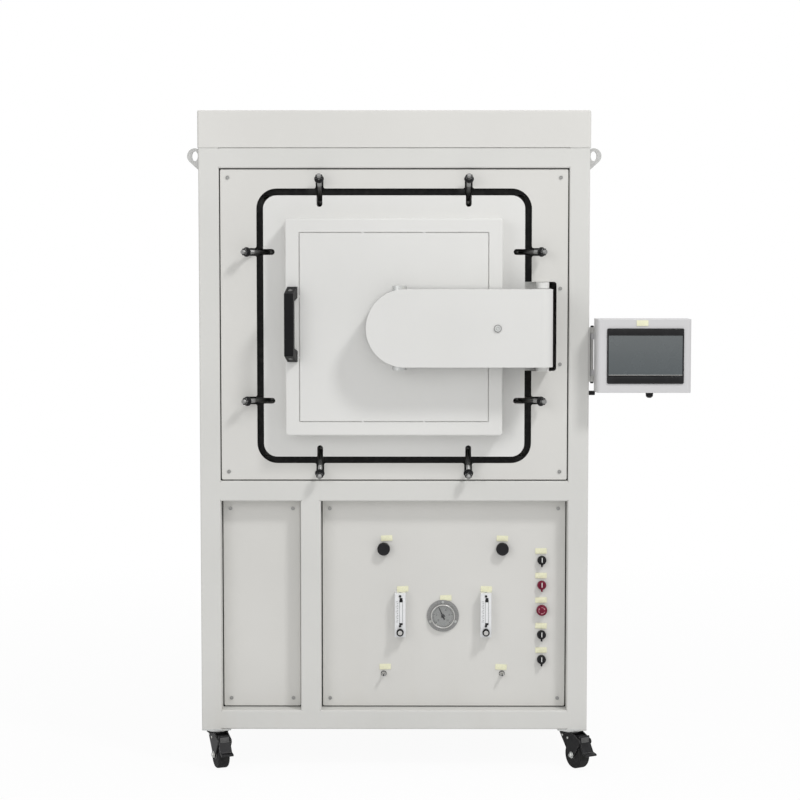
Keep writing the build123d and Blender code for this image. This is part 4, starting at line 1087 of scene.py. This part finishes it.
def makeSelectorLines():  # a white line on each wing
    line = rounded(slab("lineModel", controls["selectorLine"], (0, -0.1, 0)), 0.15, 2)
    for name, spot in selectorSpots():
        place = spot @ shifted(0, -controls["selectorDepth"], 2)
        settled(copied(line, "selectorLine" + name.title(), place), "white", "selector_" + name, "clear")
    dropped(line)


def makePushArrows():  # three plain arrows round the red button
    size = controls
    ring = size["arrowRing"]
    arrows = []
    for turn in (0, 120, 240):
        for step in range(size["arrowDashes"]):
            dash = slab("dash", size["arrowDash"], (0, 0, ring))
            arrows.append(put(dash, turned(turn + step * size["dashTurn"], "Y")))
        tip = started("tip", bpy.ops.mesh.primitive_cone_add, vertices=3, radius1=2.9 * mm, radius2=0.4 * mm,
                      depth=0.3 * mm, rotation=(math.pi / 2, 0, 0))
        place = turned(turn + size["tipTurn"], "Y") @ shifted(0, 0, ring) @ turned(90, "Y")
        arrows.append(put(tip, place))
    place = placed(size["switchX"], size["mushroomFront"] - 0.1,
                   size["switchTop"] - size["buttonRow"] * size["switchPitch"])
    settled(put(joined("pushArrows", arrows), place), "arrow", "stop", "red_plastic")


for make in (makeTags, makeGaugeDial, makeKnobs, makeFlowmeters, makeNeedle, makeSelectors,
             makeNozzleTrim, makeSelectorLines, makePushArrows):
    make()
dropped(tagModel, domeModel)
print("controls made")

# Casters
caster = {
    "placeX": 485.5, "frontY": 40, "rearY": 1110,
    "turns": (21.5, 31, -160, 150),  # about the king pins
    "wheelRadius": 37.5, "wheelWidth": 30, "trail": 30, "fork": 20, "nut": 7, "treadEdge": 4.2,
    "wheelSteps": ((2.2, -0.1), (7.5, -1.6), (1.2, 0.9), (9, -1.2), (3, 1.5)),  # inset, rise
    "hub": (10.5, 1.4),  # radius, length
    "rivet": 3.6, "rivetPlaces": ((-12, 82), (12, 86)),
    "pedalY": -60, "pedalZ": 78, "pedalHalf": 16.5, "ribs": 4, "ribPitch": 3.6,
    "block": (32.6, 44, 12), "blockPlace": (0, -22, 85.5),
}


def wheelPiece():  # about the axle, which runs along X
    radius, width = caster["wheelRadius"], caster["wheelWidth"]
    wheel = rod("wheelModel", radius - 0.1, width, axis="X", sides=72)
    for side in (-1, 1):
        stepped(wheel, (side, 0, 0), *caster["wheelSteps"])

    def shoulder(edge):  # where the tread meets a side
        ends = [vertex.co for vertex in edge.verts]
        onSide = abs(abs((ends[0] + ends[1]).x) - width * mm) < 0.6 * mm
        return onSide and all(math.hypot(end.y, end.z) > (radius - 1) * mm for end in ends)

    bevel = (bpy.ops.mesh.bevel, {"offset": caster["treadEdge"] * mm, "segments": 4})
    return edit(wheel, "EDGE", shoulder, bevel)


def hubCaps():
    caps = []
    for side in (-1, 1):
        cap = rod("hub", *caster["hub"], (side * (caster["wheelWidth"] / 2 - 0.1), 0, 0), "X", 36)
        caps.append(rounded(stepped(cap, (side, 0, 0), (2.0, -0.5)), 0.3, 2))
    return joined("hubModel", caps)


def forkTrim():  # rivets, axle bolt head and nut, about the king pin
    size = caster
    axle = (-size["trail"], size["wheelRadius"])
    trims = []
    for side in (-1, 1):
        seat, outwards = side * (size["fork"] + 0.5), (side, 0, 0)
        for place in size["rivetPlaces"]:
            head = rod("rivet", size["rivet"], 1.2, (seat, *place), "X", 20)
            trims.append(rounded(stepped(head, outwards, (1.1, 0.8)), 0.35, 2))
        nut = rod("nut", size["nut"], 5, (side * (size["fork"] + 2.4), *axle), "X", 6)
        trims.append(stepped(rounded(nut, 0.8, 2, 20), outwards, (2, 1.0)))
        trims.append(rounded(rod("washer", size["nut"] + 2, 1.2, (seat, *axle), "X", 28), 0.3, 1))
    return joined("trimModel", trims)


def brakeBlock():  # fills the space between the cheeks above the wheel
    block = slab("blockModel", caster["block"], caster["blockPlace"])
    return rounded(stepped(block, (0, -1, 0), (2, -0.8)), 0.9, 2)


def pedalPad():  # ribbed pad over the brake pedal's upper leaf
    half = caster["pedalHalf"]
    pads = [rounded(stepped(slab("pad", (half * 1.5, 1.6, 15)), (0, -1, 0), (1.2, 0.5)), 0.35, 2)]
    for rib in range(caster["ribs"]):
        z = (rib - (caster["ribs"] - 1) / 2) * caster["ribPitch"]
        pads.append(rounded(slab("rib", (half * 1.3, 0.9, 1.5), (0, -1.5, z)), 0.3, 2))
    pads.append(rounded(slab("lip", (half * 1.9, 1.4, 2.4), (0, -17.6, -31.5)), 0.5, 2))
    return put(joined("padModel", pads), shifted(0, caster["pedalY"] - 5.4, caster["pedalZ"] + 5))


wheelModel, hubModel, trimModel, padModel = wheelPiece(), hubCaps(), forkTrim(), pedalPad()
blockModel = brakeBlock()
for index, name in enumerate(corners):
    x = caster["placeX"] * (-1 if index % 2 == 0 else 1)
    y = caster["frontY"] if index < 2 else caster["rearY"]
    king = placed(x, y, 0) @ turned(caster["turns"][index], "Z")
    axle = king @ shifted(0, -caster["trail"], caster["wheelRadius"])
    words = name.title().replace("_", "")
    settled(copied(wheelModel, "wheel" + words, axle), "rubber", "wheel_" + name, "tread",
            ["caster_wheel_" + name])
    settled(copied(hubModel, "hub" + words, axle), "screw", "wheel_" + name, "plated")
    settled(copied(trimModel, "forkTrim" + words, king), "zinc", "fork_" + name, "plated")
    settled(copied(blockModel, "forkBlock" + words, king), "black", "fork_" + name, "black_plastic")
    if index < 2:
        settled(copied(padModel, "pedalPad" + words, king), "grey", "pedal_" + name, "black_plastic")
dropped(wheelModel, hubModel, trimModel, padModel, blockModel)
print("casters made")

# Panel seals, frame welds, door gap baffle (the seals and the baffle are also painted shade in the gaps),
# side and back screws, rear port bolts
cabinet = {
    "half": 525, "depth": 1150, "post": 55, "frameTop": 1687, "midTop": 790, "sillTop": 161.5,
    "middleLeft": -254, "sill": 52.5, "casterHeight": 109, "tubeRadius": 4, "weldHalf": 8,
    "upperFace": 6, "lowerFace": 44, "sideFace": 522, "backFace": 1147, "rim": 8, "edge": 20,
    "sealWidth": 5, "sealDepth": 1.6,
    "plate": 351, "boltOffset": 200, "shadeBaffleY": 29, "shadeBaffleDepth": 2, "shadeBaffleOuter": 380,
    "notchEnd": 410, "shankHalf": 8, "notchHalf": 15,
    "portZ": 1208, "portReach": 60, "portFlange": 12, "portRing": 59, "portBolts": 8, "portBolt": 4.6,
}


def panelGapShadeSeals():  # black foam strips behind the edges of the front panels; they also darken the gaps as painted shade
    size = cabinet
    inner, under = size["half"] - size["post"], size["midTop"] - size["post"]
    openings = ((-inner, inner, size["midTop"], size["frameTop"] - size["post"], size["upperFace"]),
                (-inner, size["middleLeft"], size["sillTop"], under, size["lowerFace"]),
                (size["middleLeft"] + size["post"], inner, size["sillTop"], under, size["lowerFace"]))
    wide, deep = size["sealWidth"], size["sealDepth"]
    strips = []
    for x0, x1, z0, z1, face in openings:
        y = face + size["rim"] - 0.9
        for x in (x0 + wide / 2, x1 - wide / 2):
            strips.append(slab("strip", (wide, deep, z1 - z0), (x, y, (z0 + z1) / 2)))
        for z in (z0 + wide / 2, z1 - wide / 2):
            strips.append(slab("strip", (x1 - x0 - 2 * wide, deep, wide), ((x0 + x1) / 2, y, z)))
    seals = joined("panelGapShadeSeals", [rounded(strip, 0.3, 1) for strip in strips])
    settled(put(seals, placed(0, 0, 0)), "seal", "root", "seal")


def groundWelds():  # flush welds, ground and painted over, at the frame's joints
    size = cabinet
    post, deep, wide = size["post"], size["tubeRadius"], 2 * size["weldHalf"]
    rails = ((size["frameTop"] - post, size["frameTop"]), (size["midTop"] - post, size["midTop"]),
             (size["casterHeight"], size["casterHeight"] + size["sill"]))
    faceX, sideX = size["half"] - post + deep / 2, size["half"] - deep / 2 + 0.1
    welds = []
    for low, high in rails:
        tall, z = high - low - 2 * deep, (low + high) / 2
        for side in (-1, 1):
            for y, way in ((0, 1), (size["depth"], -1)):
                skin, near = y + way * (deep / 2 - 0.1), y + way * (post - deep / 2)
                welds += [slab("weld", (wide, deep, tall), (side * faceX, skin, z)),
                          slab("weld", (deep, wide, tall), (side * sideX, near, z))]
    for z in (size["sillTop"] - deep / 2, size["midTop"] - post + deep / 2):
        place = (size["middleLeft"] + post / 2, deep / 2 - 0.1, z)
        welds.append(slab("weld", (post - 2 * deep, deep, wide), place))
    welds = joined("groundWelds", [rounded(weld, 0.08, 1) for weld in welds])
    settled(put(welds, placed(0, 0, 0)), "weld", "root", "frame")


def doorGapShadeBaffle():  # black rubber behind the door gap, slotted for the swing bolts; it also darkens the gap as painted shade
    size = cabinet
    low, high, far = size["plate"] + 1.5, size["shadeBaffleOuter"], size["notchEnd"]
    offset, shank, notch = size["boltOffset"], size["shankHalf"], size["notchHalf"]
    runs = [(-high, -offset - shank, low, high), (shank - offset, offset - shank, low, high),
            (offset + shank, high, low, high)]
    for bolt in (-offset, offset):
        runs.append((bolt - shank, bolt + shank, high - 6, far))
        runs += [(x, x + notch - shank, high, far) for x in (bolt - notch, bolt + shank)]
    strips = []
    for x0, x1, z0, z1 in runs:
        place = ((x0 + x1) / 2, size["shadeBaffleY"], (z0 + z1) / 2)
        strips.append(rounded(slab("strip", (x1 - x0, size["shadeBaffleDepth"], z1 - z0), place), 0.4, 2))
    side = joined("shadeBaffleSide", strips)
    sides = [copied(side, "side", placed(0, 0, size["portZ"]) @ turned(turn, "Y"))
             for turn in (0, 90, 180, 270)]
    dropped(side)
    settled(joined("doorGapShadeBaffle", sides), "seal", "root", "seal")


def sideScrews():
    size = cabinet
    post, edge, depth = size["post"], size["edge"], size["depth"]
    rows = ((size["sillTop"], size["midTop"] - post), (size["midTop"], size["frameTop"] - post))
    inner = size["half"] - post
    spots = [(placed(side * size["sideFace"], y, z) @ turned(90 * side, "Z"))
             for side in (-1, 1) for z0, z1 in rows for y in (post + edge, depth / 2, depth - post - edge)
             for z in (z0 + edge, z1 - edge)]
    spots += [placed(x, size["backFace"], z) @ turned(180, "Z")
              for z0, z1 in rows for x in (edge - inner, 0, inner - edge) for z in (z0 + edge, z1 - edge)]
    heads = [copied(screwModel, "head", spot) for spot in spots]
    settled(joined("sideAndBackScrews", heads), "screw", "root", "plated")


def portBolts():
    size = cabinet
    end = size["depth"] + size["portReach"]
    bolts = []
    for index in range(size["portBolts"]):
        x, z = onRing(size["portRing"], 360 * (index + 0.5) / size["portBolts"])
        bolt = rod("bolt", size["portBolt"], 3.6, (x, end - size["portFlange"] - 1.8, z), "Y", 6)
        bolts.append(stepped(rounded(bolt, 0.5, 2, 20), (0, -1, 0), (1.1, 0.3)))
        tip = rod("tip", size["portBolt"] * 0.7, 0.8, (x, end - 0.3, z), "Y", 20)
        bolts.append(rounded(stepped(tip, (0, 1, 0), (0.6, -0.25)), 0.1, 1))
    settled(put(joined("portBolts", bolts), placed(0, 0, size["portZ"])), "zinc", "root", "plated")


for make in (panelGapShadeSeals, groundWelds, doorGapShadeBaffle, sideScrews, portBolts):
    make()
dropped(screwModel)
print("seals, rear screws and port bolts made")
